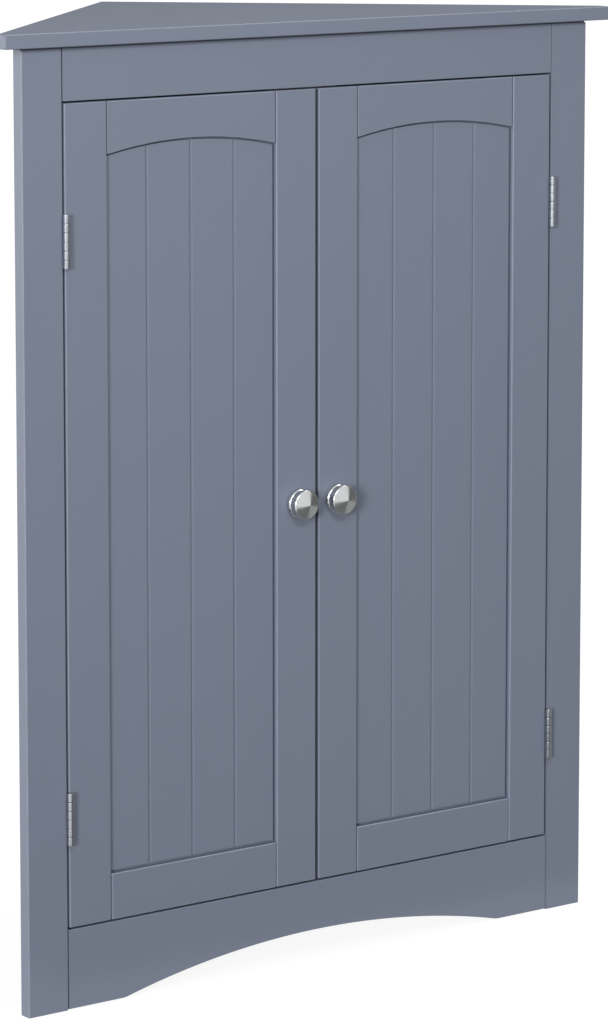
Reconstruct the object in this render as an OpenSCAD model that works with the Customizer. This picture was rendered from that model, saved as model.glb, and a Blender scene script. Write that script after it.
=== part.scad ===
// Corner floor cabinet: a face frame across the corner, two inset doors with
// arched rails and grooved panels, two side panels that meet at a right angle,
// and a triangular top board. X runs along the face, Y into the corner and Z up.
// The origin is on the floor under the middle of the whole cabinet.

/* [Cabinet] */
// Height from the floor to the face of the top board
height = 820; // [650:1:1000]
// Width across the face frame
body_w = 601.4; // [520:0.2:760]

/* [Boards] */
// Thickness of the face frame and of the doors, which lie flush in it
stock_t = 12; // [11:0.5:18]
// Thickness of the two side panels
side_t = 12; // [11:0.5:18]
// Thickness of the top board
top_t = 12; // [11:0.5:20]
// Thickness of the bottom panel and of the shelves
shelf_t = 12; // [11:0.5:18]
// Chamfer on the edges that show
ease = 0.8; // [0.4:0.1:1.5]

/* [Top board] */
// How far the top board stands out over the face frame and over the side panels
top_over = 9.2; // [4:0.2:16]
// Depth of the short square returns at the two front corners
top_return = 13.2; // [6:0.2:24]

/* [Face frame] */
// Width of the two upright stiles
stile_w = 39.5; // [32:0.5:55]
// Width of the top rail
top_rail_w = 45; // [36:0.5:60]
// Height of the apron's upper edge above the floor
apron_top = 69; // [58:0.5:90]
// Clearance between the apron and the floor
apron_lift = 1; // [0.5:0.1:4]
// Rise of the arch above the apron's lower edge
arch_rise = 25; // [12:0.5:32]
// Radius of the arch
arch_r = 840; // [760:5:1200]
// Radius of the round ends where the arch runs out
arch_end_r = 25; // [10:1:40]

/* [Doors] */
// Gap between the two doors
centre_gap = 3; // [2:0.1:5]
// Gap above and below each door
head_gap = 1.6; // [1:0.1:4]
// Width of the doors' stiles
door_stile_w = 42; // [34:0.5:55]
// Width of the doors' bottom rails
door_bottom_w = 40; // [30:0.5:60]
// Width of the doors' arched top rails at their ends
door_top_w = 44.6; // [36:0.2:60]
// Rise of the arch under the top rail
door_arch_rise = 9.7; // [5:0.1:18]
// Depth of the grooves that hold the panel
groove_d = 6; // [4:0.5:9]
// Thickness of the panel
panel_t = 4; // [3:0.1:4.5]
// Depth of the panel's face behind the face of its frame
panel_back = 3.5; // [3:0.1:5.5]
// Distance between the grooves in the panel's face
bead_pitch = 44.7; // [25:0.1:60]
// Width of each groove in the panel's face
bead_w = 2.6; // [1.2:0.1:4]
// Depth of each groove in the panel's face
bead_d = 1.4; // [0.6:0.1:2]

/* [Hinges] */
// Length of each hinge
hinge_l = 45; // [40:0.5:60]
// Number of knuckles in each hinge
knuckles = 6; // [4:1:8]
// Diameter of the barrel
barrel_d = 6; // [4.8:0.1:8]
// Diameter of the hinge pin
pin_d = 2.5; // [2:0.1:3]
// Thickness of each leaf
leaf_t = 0.8; // [0.6:0.05:1.4]
// Gap between the two closed leaves
leaf_gap = 0.4; // [0.3:0.05:0.8]
// How far the leaves reach back from the face
leaf_reach = 10; // [8.5:0.1:11]
// Middle of the lower hinge above the door's lower edge
low_hinge_up = 94; // [60:1:140]
// Middle of the upper hinge below the door's upper edge
high_hinge_down = 113; // [60:1:140]
// Length of the screws in the leaves
leaf_screw_l = 14; // [10:1:20]

/* [Knobs] */
// Diameter of the knob's head
knob_d = 25.5; // [20:0.1:34]
// How far the knob stands out from the door
knob_reach = 17.4; // [14.5:0.1:26]
// Distance from the door's free edge to the middle of the knob
knob_in = 19.1; // [16:0.1:24]
// Height of the knob above the door's lower edge
knob_up = 335; // [250:1:420]
// Diameter of the knob's foot
knob_foot_d = 17; // [14:0.5:19]
// Diameter of the screw that holds the knob
knob_screw_d = 4; // [3.5:0.1:5]

/* [Shelves] */
// Height of the lower shelf's pins above the bottom panel
low_pin_up = 205; // [150:1:260]
// Height of the upper shelf's pins above the bottom panel
high_pin_up = 435; // [380:1:480]
// Distance between the pin holes of one row
pin_pitch = 32; // [25:1:40]
// Diameter of the shelf pins
shelf_pin_d = 5; // [4:0.5:6]
// Depth of the pin holes
pin_hole_d = 8; // [6:0.5:9]
// How far a pin reaches under its shelf
pin_out = 9; // [6:0.5:14]
// Gap between a shelf and the side panels
shelf_gap = 2; // [1.6:0.1:4]
// Distance from the doors to the shelves' front edges
shelf_back = 12; // [6:1:40]
// Length cut from each sharp corner of a shelf
shelf_nose = 16; // [8:1:30]
// Distance from the ends of a side panel to its rows of pin holes
pin_row_in = 75; // [50:1:100]

/* [Catch] */
// Length of the cleat behind the top rail
cleat_w = 90; // [80:1:160]
// Depth of the cleat
cleat_d = 30; // [26:1:45]
// Length of the catch's housing
catch_w = 62; // [58:0.5:76]
// Depth of the catch's housing
catch_d = 16; // [14:0.5:22]
// Height of the catch's housing
catch_h = 13; // [11.5:0.5:18]
// Length of each magnet with its pole plates
magnet_w = 12; // [8:0.5:14]
// Width of each strike plate
strike_w = 16; // [14.5:0.5:20]
// Height of each strike plate
strike_h = 28; // [26:0.5:34]
// Thickness of each strike plate
strike_t = 1; // [0.8:0.1:1.6]
// Gap between a closed strike plate and its magnet
catch_air = 0.3; // [0.2:0.05:0.6]
// Thickness of the housing above and below the magnets
catch_wall = 2; // [1.5:0.1:3]
// Thickness of the housing behind the magnets
catch_rear = 5; // [3:0.5:6]
// Distance from a door's free edge to its strike plate
strike_in = 6; // [4:0.5:7]
// Distance from a door's upper edge to its strike plate
strike_down = 2; // [1:0.1:4]
// Distance from the ends of the housing to its screws
catch_screw_in = 4.5; // [3.5:0.1:5]
// How far the screws of the catch reach into the cleat
catch_screw_grip = 12; // [8:0.5:20]

/* [Fixings] */
// Diameter of the dowels
dowel_d = 6; // [5:0.5:7]
// Length of the dowels
dowel_l = 24; // [20:1:30]
// Distance from a rail's edge to the nearest dowel
dowel_in = 12; // [9:0.5:14]
// Diameter of the cam locks
cam_d = 12; // [10:0.5:15]
// Depth of the cam locks
cam_h = 9; // [8:0.5:9.5]
// Distance from the middle of a cam lock to its joint
cam_set = 24; // [18:0.5:30]
// How far a cam bolt is screwed into the other board
bolt_grip = 8; // [6:0.5:9]
// Diameter of the cam bolts
bolt_d = 4.6; // [4:0.1:5]
// Length of the screws at the back corner
corner_screw_l = 38; // [30:1:50]
// Diameter of the screws at the back corner
corner_screw_d = 4; // [3.5:0.1:4.5]
// Distance from the end screws to the ends of the back corner
corner_screw_in = 90; // [60:1:120]
// Distance from the front of a side panel to the first cam lock under the top board
top_cam_front = 58; // [45:1:70]
// Distance from the back of a side panel to the last cam lock under the top board
top_cam_rear = 70; // [50:1:90]
// Distance from the front of a side panel to the first cam lock of the bottom panel
bottom_cam_front = 100; // [90:1:115]
// Distance from the back of a side panel to the last cam lock of the bottom panel
bottom_cam_rear = 120; // [105:1:135]
// Distance from the middle to each dowel between the apron and the bottom panel
bottom_dowel_x = 120; // [80:1:160]
// Distance from the middle to each dowel between the top rail and the top board
top_dowel_x = 150; // [100:1:200]

/* [Hidden] */
paint = [0.46, 0.49, 0.56];
bare_board = [0.74, 0.66, 0.54];
nickel = [0.74, 0.74, 0.72];
steel = [0.62, 0.64, 0.66];
white_plastic = [0.93, 0.93, 0.91];

// Smoothness of small and of large round forms
round_fn = 48;
arch_fn = 360;
// Clearance round a dowel, a screw, a pin or a tongue
fit = 0.05;
tongue_fit = 0.1;
// Play at the bottom of a groove or a blind hole
end_play = 0.5;
// Overrun of a cut past the face that it leaves
over = 1;

// Heights
carcass_top = height - top_t;
top_rail_z = carcass_top - top_rail_w;
door_z = apron_top + head_gap;
door_h = top_rail_z - head_gap - door_z;
bottom_z = apron_top - shelf_t;

// Plan of the carcass: the side panels lie at 45 degrees to the face
root2 = sqrt(2);
body_half = body_w / 2;
side_l = body_half * root2;
corner_y = stock_t + body_half;
inner_corner_y = corner_y - side_t * root2;
opening_half = body_half - stile_w;
top_corner_y = corner_y + top_over * root2;
top_half = top_corner_y - (top_return - top_over);
// Distance from the origin to the face of the frame
face_y = (knob_reach - top_corner_y) / 2;

// Plan of the doors, drawn for the right-hand one
hinge_gap = 2 * leaf_t + leaf_gap;
door_x = centre_gap / 2;
door_w = opening_half - hinge_gap - door_x;
door_edge = door_x + door_w;
rail_x = door_x + door_stile_w;
rail_l = door_w - 2 * door_stile_w;
door_middle = door_x + door_w / 2;
tongue_t = panel_t;
tongue_y = panel_back + tongue_fit;
groove_w = panel_t + 2 * tongue_fit;
tongue_l = groove_d - end_play;

// Arch under the door's top rail
door_spring_z = door_z + door_h - door_top_w;
door_arch_r = (pow(rail_l / 2, 2) + pow(door_arch_rise, 2)) / (2 * door_arch_rise);
door_arch_z = door_spring_z + door_arch_rise - door_arch_r;

// Arch of the apron and the tangent points of its round ends
arch_z = apron_lift + arch_rise - arch_r;
arch_end_z = apron_lift + arch_end_r;
arch_end_x = sqrt(pow(arch_r + arch_end_r, 2) - pow(arch_end_z - arch_z, 2));
arch_touch_x = arch_end_x * arch_r / (arch_r + arch_end_r);
arch_touch_z = arch_z + (arch_end_z - arch_z) * arch_r / (arch_r + arch_end_r);

// Hinges
hinge_x = opening_half - hinge_gap / 2;
barrel_air = 0.3;
hinge_y = -(barrel_d / 2 + barrel_air);
knuckle_l = hinge_l / knuckles;
knuckle_air = 0.3;
hinge_heights = [door_z + low_hinge_up - hinge_l / 2, door_z + door_h - high_hinge_down - hinge_l / 2];
leaf_screw_d = 2.5;
leaf_head_d = 4.4;
leaf_screw_y = 5;
leaf_screw_in = hinge_l / 6;

// Knobs
knob_x = door_x + knob_in;
knob_z = door_z + knob_up;
knob_foot_h = 1.8;
knob_neck_d = 13;
knob_ring_h = 4.6;
knob_ring_y = 0.7;
knob_waist_h = 6.8;
knob_waist_in = 1.05;
knob_rim_h = 0.9;
knob_tip_d = 2.4;
knob_thread_l = 8;
knob_head_d = 8;
knob_head_h = 2.4;

// Shelves and their pins
pin_rows = [side_t + pin_row_in, side_l - side_t - pin_row_in];
pin_holes = [-pin_pitch, 0, pin_pitch];
pin_collar_d = 7;
pin_collar_t = 1.2;
pin_seat = 0.1;

// Catch and strike plates
catch_y = stock_t + strike_t + catch_air;
catch_z = top_rail_z - catch_h;
magnet_h = catch_h - 2 * catch_wall;
magnet_d = catch_d - catch_rear;
magnet_proud = 0.5;
magnet_x = door_x + strike_in + strike_w / 2;
catch_screw_x = catch_w / 2 - catch_screw_in;
catch_screw_d = 3;
catch_screw_l = catch_h + catch_screw_grip;
pan_head_d = 5.6;
pan_head_h = 1.6;
strike_z = top_rail_z - head_gap - strike_down - strike_h;
strike_screw_up = 7;
strike_screw_l = stock_t - 2;

// Cam locks, their bolts and the other fixings
top_cams = [side_t + top_cam_front, side_l - side_t - top_cam_rear];
bottom_cams = [side_t + bottom_cam_front, side_l - side_t - bottom_cam_rear];
cam_play = 0.1;
cam_slot_w = 1.4;
cam_slot_l = 8;
cam_slot_d = 2;
dowel_grip = 8;
corner_heights = [corner_screw_in, carcass_top / 2, carcass_top - corner_screw_in];
corner_head_d = 8;
screw_point = 2;

// Moves a piece drawn from the face of the frame to its place over the origin
module in_place() {
    translate([0, face_y, 0])
        children();
}

// Shows what is drawn for the right-hand side there, or mirrored to the left
module on_side(side) {
    if (side < 0)
        mirror([1, 0, 0])
            children();
    else
        children();
}

// Frame of the right-hand side panel: X to the back corner, Y into the cabinet
module side_frame() {
    translate([body_half, stock_t, 0])
        rotate([0, 0, 135])
            children();
}

// Turns a form drawn along Z so that it runs into the cabinet along Y
module along_y() {
    rotate([-90, 0, 0])
        children();
}

// Section of a board across its width, with both front edges eased
module eased_section(w, t) {
    polygon([[0, ease], [ease, 0], [w - ease, 0], [w, ease], [w, t], [0, t]]);
}

// Board with its face at Y 0 and eased edges all round the face
module eased_board(w, h, t) {
    intersection() {
        linear_extrude(h)
            eased_section(w, t);
        rotate([90, 0, 90])
            linear_extrude(w)
                polygon([[ease, 0], [t, 0], [t, h], [ease, h], [0, h - ease], [0, ease]]);
    }
}

// Countersunk screw or its hole: head at Z 0, point upwards
module flat_screw(d, head_d, head_h, l, grow = 0) {
    translate([0, 0, -grow])
        cylinder(d = head_d + 2 * grow, h = grow, $fn = round_fn);
    cylinder(d1 = head_d + 2 * grow, d2 = d + 2 * grow, h = head_h, $fn = round_fn);
    cylinder(d = d + 2 * grow, h = l - screw_point, $fn = round_fn);
    translate([0, 0, l - screw_point])
        cylinder(d1 = d + 2 * grow, d2 = d / 3, h = screw_point + grow, $fn = round_fn);
}

// Screw with a round head: seat of the head at Z 0, point upwards
module pan_screw(d, head_d, head_h, l) {
    translate([0, 0, -head_h])
        cylinder(d1 = head_d * 0.8, d2 = head_d, h = head_h / 2, $fn = round_fn);
    translate([0, 0, -head_h / 2])
        cylinder(d = head_d, h = head_h / 2, $fn = round_fn);
    cylinder(d = d, h = l, $fn = round_fn);
}

// Diamond prism that eases the edge between two points at one height
module edge_cut(from, to, z) {
    run = to - from;
    translate([from[0], from[1], z])
        rotate([0, 0, atan2(run[1], run[0])])
            translate([-over, 0, 0])
                rotate([90, 0, 90])
                    linear_extrude(norm(run) + 2 * over)
                        polygon([[ease, 0], [0, ease], [-ease, 0], [0, -ease]]);
}

// Dowel across a joint, or its holes: the joint is at Z 0
module dowel(below, grow = 0, play = 0) {
    translate([0, 0, -below - play])
        cylinder(d = dowel_d + 2 * grow, h = dowel_l + 2 * play, $fn = round_fn);
}

// Dowels between the stiles and a rail whose edges are at the two heights
module rail_dowels(low, high, grow = 0, play = 0) {
    for (side = [-1, 1], z = [low + dowel_in, high - dowel_in])
        translate([side * opening_half, stock_t / 2, z])
            rotate([0, side * 90, 0])
                dowel(dowel_l / 2, grow, play);
}

// Dowels between the apron and the bottom panel
module bottom_dowels(grow = 0, play = 0) {
    for (side = [-1, 1])
        translate([side * bottom_dowel_x, stock_t, bottom_z + shelf_t / 2])
            along_y()
                dowel(dowel_grip, grow, play);
}

// Dowels between the top rail and the top board
module top_dowels(grow = 0, play = 0) {
    for (side = [-1, 1])
        translate([side * top_dowel_x, stock_t / 2, carcass_top])
            dowel(dowel_l - dowel_grip, grow, play);
}

// Places of the cam joints under the top board: Z to the bolt's board, Y to the cam's face
module at_top_cams() {
    for (side = [-1, 1], x = top_cams)
        on_side(side)
            side_frame()
                translate([x, side_t / 2, carcass_top])
                    children();
}

// Places of the cam joints of the bottom panel, with the cams on its underside
module at_bottom_cams() {
    for (side = [-1, 1], x = bottom_cams)
        on_side(side)
            side_frame()
                translate([x, side_t, bottom_z + shelf_t / 2])
                    rotate([90, 0, 0])
                        rotate([0, 0, 180])
                            children();
}

// Cam lock in a board: a drum with a slot in its face and a way in for the bolt
module cam_lock(board_t) {
    translate([0, board_t / 2, -cam_set])
        difference() {
            rotate([90, 0, 0])
                cylinder(d = cam_d, h = cam_h, $fn = round_fn);
            translate([0, -board_t / 2, -over / 2])
                cylinder(d = bolt_d + 4 * cam_play, h = cam_d, $fn = round_fn);
            translate([-cam_slot_l / 2, -cam_slot_d, -cam_slot_w / 2])
                cube([cam_slot_l, cam_slot_d + over, cam_slot_w]);
        }
}

// Pocket for a cam lock and the bore for its bolt
module cam_pocket(board_t) {
    translate([0, board_t / 2 + over, -cam_set])
        rotate([90, 0, 0])
            cylinder(d = cam_d + 2 * cam_play, h = cam_h + cam_play + over, $fn = round_fn);
    translate([0, 0, -cam_set])
        cylinder(d = bolt_d + 4 * cam_play, h = cam_set + over, $fn = round_fn);
}

// Cam bolt: a plain shank from the cam to the joint and a screwed end past it
module cam_bolt() {
    translate([0, 0, -cam_set])
        cylinder(d = bolt_d, h = cam_set + bolt_grip, $fn = round_fn);
}

// Hole for the screwed end of a cam bolt
module bolt_hole() {
    translate([0, 0, -over])
        cylinder(d = bolt_d + 2 * fit, h = bolt_grip + end_play + over, $fn = round_fn);
}

// Places of the screws at the back corner, driven through the right side panel
module at_corner_screws() {
    for (z = corner_heights)
        side_frame()
            translate([side_l - side_t / 2, 0, z])
                along_y()
                    children();
}

// Screw at the back corner, or its hole
module corner_screw(grow = 0) {
    flat_screw(corner_screw_d, corner_head_d, (corner_head_d - corner_screw_d) / 2, corner_screw_l, grow);
}

// Places of the shelf pins of one side, at a list of heights above the bottom panel
module at_pins(side, heights) {
    for (x = pin_rows, z = heights)
        on_side(side)
            side_frame()
                translate([x, side_t, apron_top + z])
                    along_y()
                        children();
}

// Side panel of one side, mitred where it meets the stile, shorter by the lap at the back
module side_panel(side, lap) {
    difference() {
        on_side(side)
            side_frame()
                linear_extrude(carcass_top)
                    polygon([[0, 0], [side_l - lap, 0], [side_l - lap, side_t], [side_t, side_t]]);
        at_top_cams()
            cam_pocket(side_t);
        at_bottom_cams()
            bolt_hole();
        at_corner_screws()
            corner_screw(fit);
        for (up = [low_pin_up, high_pin_up])
            at_pins(side, up * [1, 1, 1] + pin_holes)
                translate([0, 0, -pin_hole_d])
                    cylinder(d = shelf_pin_d + 2 * fit, h = pin_hole_d + over, $fn = round_fn);
    }
}

// Shelf with its lower face at a height: the sharp corners are cut square
module shelf(z) {
    front = stock_t + shelf_back;
    back = inner_corner_y - shelf_gap * root2;
    half = back - front;
    translate([0, 0, z])
        linear_extrude(shelf_t)
            polygon([[shelf_nose - half, front], [half - shelf_nose, front],
                     [half - shelf_nose, front + shelf_nose], [shelf_nose, back - shelf_nose],
                     [-shelf_nose, back - shelf_nose], [shelf_nose - half, front + shelf_nose]]);
}

// Height of a shelf's lower face over its pins
function shelf_z(up) = apron_top + up + shelf_pin_d / 2 + pin_seat;

// Stile of the face frame
module frame_stile(side) {
    difference() {
        on_side(side)
            translate([opening_half, 0, 0])
                linear_extrude(carcass_top)
                    eased_section(stile_w, stock_t);
        rail_dowels(apron_lift, apron_top, fit, end_play);
        rail_dowels(top_rail_z, carcass_top, fit, end_play);
        leaf_screws(side, 1, fit);
    }
}

// Arch and its round ends, cut through the apron
module apron_arch() {
    translate([0, -over, arch_z])
        along_y()
            cylinder(r = arch_r, h = stock_t + 2 * over, $fn = arch_fn);
    for (side = [-1, 1])
        on_side(side)
            difference() {
                translate([0, stock_t + over, 0])
                    rotate([90, 0, 0])
                        linear_extrude(stock_t + 2 * over)
                            polygon([[arch_touch_x, arch_touch_z], [arch_end_x, apron_lift],
                                     [arch_end_x, apron_lift - over],
                                     [arch_touch_x - arch_end_r, apron_lift - over],
                                     [arch_touch_x - arch_end_r, arch_touch_z]]);
                translate([arch_end_x, -2 * over, arch_end_z])
                    along_y()
                        cylinder(r = arch_end_r, h = stock_t + 4 * over, $fn = arch_fn);
            }
}

// What lies above an arc over the door's panel opening, between two depths
module above_door_arc(r, y, depth) {
    difference() {
        translate([rail_x - groove_d - over, y, door_spring_z])
            cube([rail_l + 2 * (groove_d + over), depth, door_top_w + over]);
        translate([door_middle, y - over, door_arch_z])
            along_y()
                cylinder(r = r, h = depth + 2 * over, $fn = arch_fn);
    }
}

// Door stile with a groove down one edge
module door_stile(x, groove_x) {
    difference() {
        translate([x, 0, door_z])
            eased_board(door_stile_w, door_h, stock_t);
        translate([groove_x, panel_back, door_z - over])
            cube([groove_d, groove_w, door_h + 2 * over]);
    }
}

// Tongue that runs the whole length of a rail and out into both stiles
module rail_tongue(z, h) {
    translate([rail_x - tongue_l, tongue_y, z])
        cube([rail_l + 2 * tongue_l, tongue_t, h]);
}

module door_hinge_stile(side) {
    difference() {
        on_side(side)
            door_stile(door_edge - door_stile_w, door_edge - door_stile_w);
        leaf_screws(side, -1, fit);
    }
}

module door_lock_stile(side) {
    difference() {
        on_side(side)
            door_stile(door_x, rail_x - groove_d);
        on_side(side)
            translate([knob_x, -over, knob_z])
                along_y()
                    cylinder(d = knob_screw_d + 4 * fit, h = stock_t + 2 * over, $fn = round_fn);
        strike_screw(side, fit);
    }
}

// Arched top rail: the arc is cut through, and a deeper arc makes the panel's groove
module door_arched_rail(side) {
    on_side(side)
        difference() {
            union() {
                translate([rail_x, 0, door_spring_z])
                    eased_board(rail_l, door_top_w, stock_t);
                rail_tongue(door_spring_z, door_top_w);
            }
            translate([door_middle, -over, door_arch_z])
                along_y()
                    cylinder(r = door_arch_r, h = stock_t + 2 * over, $fn = arch_fn);
            translate([door_middle, panel_back, door_arch_z])
                along_y()
                    cylinder(r = door_arch_r + groove_d, h = groove_w, $fn = arch_fn);
            translate([door_middle, -over, door_arch_z])
                along_y()
                    cylinder(r1 = door_arch_r + ease + over, r2 = door_arch_r, h = ease + over, $fn = arch_fn);
        }
}

module door_bottom_rail(side) {
    on_side(side)
        difference() {
            union() {
                translate([rail_x, 0, door_z])
                    eased_board(rail_l, door_bottom_w, stock_t);
                rail_tongue(door_z, door_bottom_w);
            }
            translate([rail_x - groove_d - over, panel_back, door_z + door_bottom_w - groove_d])
                cube([rail_l + 2 * (groove_d + over), groove_w, groove_d + over]);
        }
}

// Panel with grooves in its face, rounded on top like the rail above it
module door_panel(side) {
    low = door_z + door_bottom_w - tongue_l;
    high = door_spring_z + door_arch_rise + groove_d;
    grooves = floor((rail_l / 2 - bead_w) / bead_pitch);
    bead_floor = bead_w * 0.7;
    on_side(side)
        difference() {
            translate([rail_x - tongue_l, tongue_y, low])
                cube([rail_l + 2 * tongue_l, panel_t, high - low]);
            for (k = [-grooves : grooves])
                translate([door_middle + k * bead_pitch, tongue_y, low - over])
                    linear_extrude(high - low + 2 * over)
                        polygon([[-bead_w / 2, 0], [-bead_w / 2, -over], [bead_w / 2, -over],
                                 [bead_w / 2, 0], [bead_floor / 2, bead_d], [-bead_floor / 2, bead_d]]);
            above_door_arc(door_arch_r + tongue_l, tongue_y - over, panel_t + 2 * over);
        }
}

// Hinge leaf: knuckles of one parity, and a plate on the frame's side or the door's
module hinge_leaf(z, parity, plate_x, out) {
    difference() {
        union() {
            for (k = [parity : 2 : knuckles - 1])
                translate([hinge_x, hinge_y, z + k * knuckle_l + knuckle_air / 2])
                    cylinder(d = barrel_d, h = knuckle_l - knuckle_air, $fn = round_fn);
            translate([plate_x, hinge_y, z + knuckle_air / 2])
                cube([leaf_t, leaf_reach - hinge_y, hinge_l - knuckle_air]);
        }
        for (k = [1 - parity : 2 : knuckles - 1])
            translate([hinge_x, hinge_y, z + k * knuckle_l - knuckle_air / 2])
                cylinder(d = barrel_d + 2 * barrel_air, h = knuckle_l + knuckle_air, $fn = round_fn);
        translate([hinge_x, hinge_y, z - over])
            cylinder(d = pin_d + 2 * fit, h = hinge_l + 2 * over, $fn = round_fn);
        one_leaf_screws(z, out, fit);
    }
}

// Screws of one leaf, or their holes: out is 1 into the stile and -1 into the door
module one_leaf_screws(z, out, grow = 0) {
    head_x = hinge_x + out * leaf_gap / 2;
    for (up = [leaf_screw_in, hinge_l / 2, hinge_l - leaf_screw_in])
        translate([head_x, leaf_screw_y, z + up])
            rotate([0, out * 90, 0])
                flat_screw(leaf_screw_d, leaf_head_d, leaf_t, leaf_screw_l, grow);
}

// Screws of both leaves on one side that go into the stile or into the door
module leaf_screws(side, out, grow = 0) {
    on_side(side)
        for (z = hinge_heights)
            one_leaf_screws(z, out, grow);
}

module frame_leaves(side) {
    on_side(side)
        for (z = hinge_heights)
            hinge_leaf(z, 0, opening_half - leaf_t, 1);
}

module door_leaves(side) {
    on_side(side)
        for (z = hinge_heights)
            hinge_leaf(z, 1, door_edge, -1);
}

// Turned knob: foot, neck, rounded ring, flared waist, rim and a shallow cone
module door_knob(side) {
    ring_r = knob_ring_h / 2;
    head_y = knob_ring_y + knob_ring_h + knob_waist_h;
    cone_y = head_y + knob_rim_h;
    waist_d = knob_d - 2 * knob_waist_in;
    on_side(side)
        translate([knob_x, 0, knob_z])
            rotate([90, 0, 0])
                difference() {
                    union() {
                        cylinder(d = knob_foot_d, h = knob_foot_h, $fn = round_fn);
                        cylinder(d = knob_neck_d, h = knob_ring_y + ring_r, $fn = round_fn);
                        translate([0, 0, knob_ring_y + ring_r])
                            rotate_extrude($fn = round_fn)
                                translate([knob_d / 2 - ring_r, 0])
                                    circle(r = ring_r, $fn = round_fn);
                        translate([0, 0, knob_ring_y])
                            cylinder(d = knob_d - 2 * ring_r, h = knob_ring_h, $fn = round_fn);
                        translate([0, 0, knob_ring_y + ring_r])
                            cylinder(d1 = waist_d, d2 = (waist_d + knob_d) / 2,
                                     h = head_y - knob_ring_y - ring_r, $fn = round_fn);
                        translate([0, 0, head_y])
                            cylinder(d = knob_d, h = knob_rim_h, $fn = round_fn);
                        translate([0, 0, cone_y])
                            cylinder(d1 = knob_d, d2 = knob_tip_d, h = knob_reach - cone_y, $fn = round_fn);
                    }
                    translate([0, 0, -over])
                        cylinder(d = knob_screw_d + 2 * fit, h = knob_thread_l + end_play + over,
                                 $fn = round_fn);
                }
}

module knob_screw(side) {
    on_side(side)
        translate([knob_x, stock_t, knob_z])
            rotate([90, 0, 0])
                pan_screw(knob_screw_d, knob_head_d, knob_head_h, stock_t + knob_thread_l);
}

// Strike plate on the back of a door, with a plain hole for its screw
module strike_plate(side) {
    on_side(side)
        difference() {
            translate([magnet_x - strike_w / 2, stock_t, strike_z])
                cube([strike_w, strike_t, strike_h]);
            translate([magnet_x, stock_t - over, strike_z + strike_screw_up])
                along_y()
                    cylinder(d = catch_screw_d + 4 * fit, h = strike_t + 2 * over, $fn = round_fn);
        }
}

// Screw of a strike plate, or its hole in the door
module strike_screw(side, grow = 0) {
    on_side(side)
        translate([magnet_x, stock_t + strike_t, strike_z + strike_screw_up])
            rotate([90, 0, 0])
                pan_screw(catch_screw_d + 2 * grow, pan_head_d, pan_head_h, strike_screw_l + grow);
}

// Magnet between its pole plates, or its pocket in the housing
module magnet(side, grow = 0) {
    on_side(side)
        translate([magnet_x - magnet_w / 2 - grow, catch_y - grow, catch_z + (catch_h - magnet_h) / 2 - grow])
            cube([magnet_w + 2 * grow, magnet_d + 2 * grow, magnet_h + 2 * grow]);
}

// Screw of the catch, or its hole
module catch_screw(side, grow = 0) {
    on_side(side)
        translate([catch_screw_x, catch_y + catch_d / 2, catch_z])
            pan_screw(catch_screw_d + 2 * grow, pan_head_d, pan_head_h, catch_screw_l + grow);
}

module top_board() {
    outline = [[-top_half, -top_over], [top_half, -top_over], [top_half, top_return - top_over],
               [0, top_corner_y], [-top_half, top_return - top_over]];
    color(paint)
        in_place()
            difference() {
                translate([0, 0, carcass_top])
                    linear_extrude(top_t)
                        polygon(outline);
                for (k = [0 : len(outline) - 1], z = [carcass_top, height])
                    edge_cut(outline[k], outline[(k + 1) % len(outline)], z);
                top_dowels(fit, end_play);
                at_top_cams()
                    bolt_hole();
            }
}

module left_frame_stile() {
    color(paint)
        in_place()
            frame_stile(-1);
}

module right_frame_stile() {
    color(paint)
        in_place()
            frame_stile(1);
}

module top_frame_rail() {
    color(paint)
        in_place()
            difference() {
                translate([-opening_half, 0, top_rail_z])
                    eased_board(2 * opening_half, top_rail_w, stock_t);
                rail_dowels(top_rail_z, carcass_top, fit, end_play);
                top_dowels(fit, end_play);
            }
}

module apron() {
    color(paint)
        in_place()
            difference() {
                translate([-opening_half, 0, apron_lift])
                    eased_board(2 * opening_half, apron_top - apron_lift, stock_t);
                apron_arch();
                rail_dowels(apron_lift, apron_top, fit, end_play);
                bottom_dowels(fit, end_play);
            }
}

module left_side_panel() {
    color(paint)
        in_place()
            side_panel(-1, side_t);
}

module right_side_panel() {
    color(paint)
        in_place()
            side_panel(1, 0);
}

module bottom_panel() {
    color(paint)
        in_place()
            difference() {
                translate([0, 0, bottom_z])
                    linear_extrude(shelf_t)
                        polygon([[stock_t - inner_corner_y, stock_t], [inner_corner_y - stock_t, stock_t],
                                 [0, inner_corner_y]]);
                at_bottom_cams()
                    cam_pocket(shelf_t);
                bottom_dowels(fit, end_play);
            }
}

module lower_shelf() {
    color(paint)
        in_place()
            shelf(shelf_z(low_pin_up));
}

module upper_shelf() {
    color(paint)
        in_place()
            shelf(shelf_z(high_pin_up));
}

module shelf_pins() {
    color(nickel)
        in_place()
            for (side = [-1, 1])
                at_pins(side, [low_pin_up, high_pin_up]) {
                    translate([0, 0, end_play - pin_hole_d])
                        cylinder(d = shelf_pin_d, h = pin_hole_d - end_play + pin_out, $fn = round_fn);
                    cylinder(d = pin_collar_d, h = pin_collar_t, $fn = round_fn);
                }
}

module catch_cleat() {
    color(bare_board)
        in_place()
            difference() {
                translate([-cleat_w / 2, stock_t, top_rail_z])
                    cube([cleat_w, cleat_d, top_rail_w]);
                catch_screw(-1, fit);
                catch_screw(1, fit);
            }
}

module catch_housing() {
    color(white_plastic)
        in_place()
            difference() {
                translate([-catch_w / 2, catch_y + magnet_proud, catch_z])
                    cube([catch_w, catch_d - magnet_proud, catch_h]);
                for (side = [-1, 1]) {
                    magnet(side, cam_play);
                    catch_screw(side, 2 * fit);
                }
            }
}

module catch_magnets() {
    color(steel)
        in_place() {
            magnet(-1);
            magnet(1);
        }
}

module catch_screws() {
    color(steel)
        in_place() {
            catch_screw(-1);
            catch_screw(1);
        }
}

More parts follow.
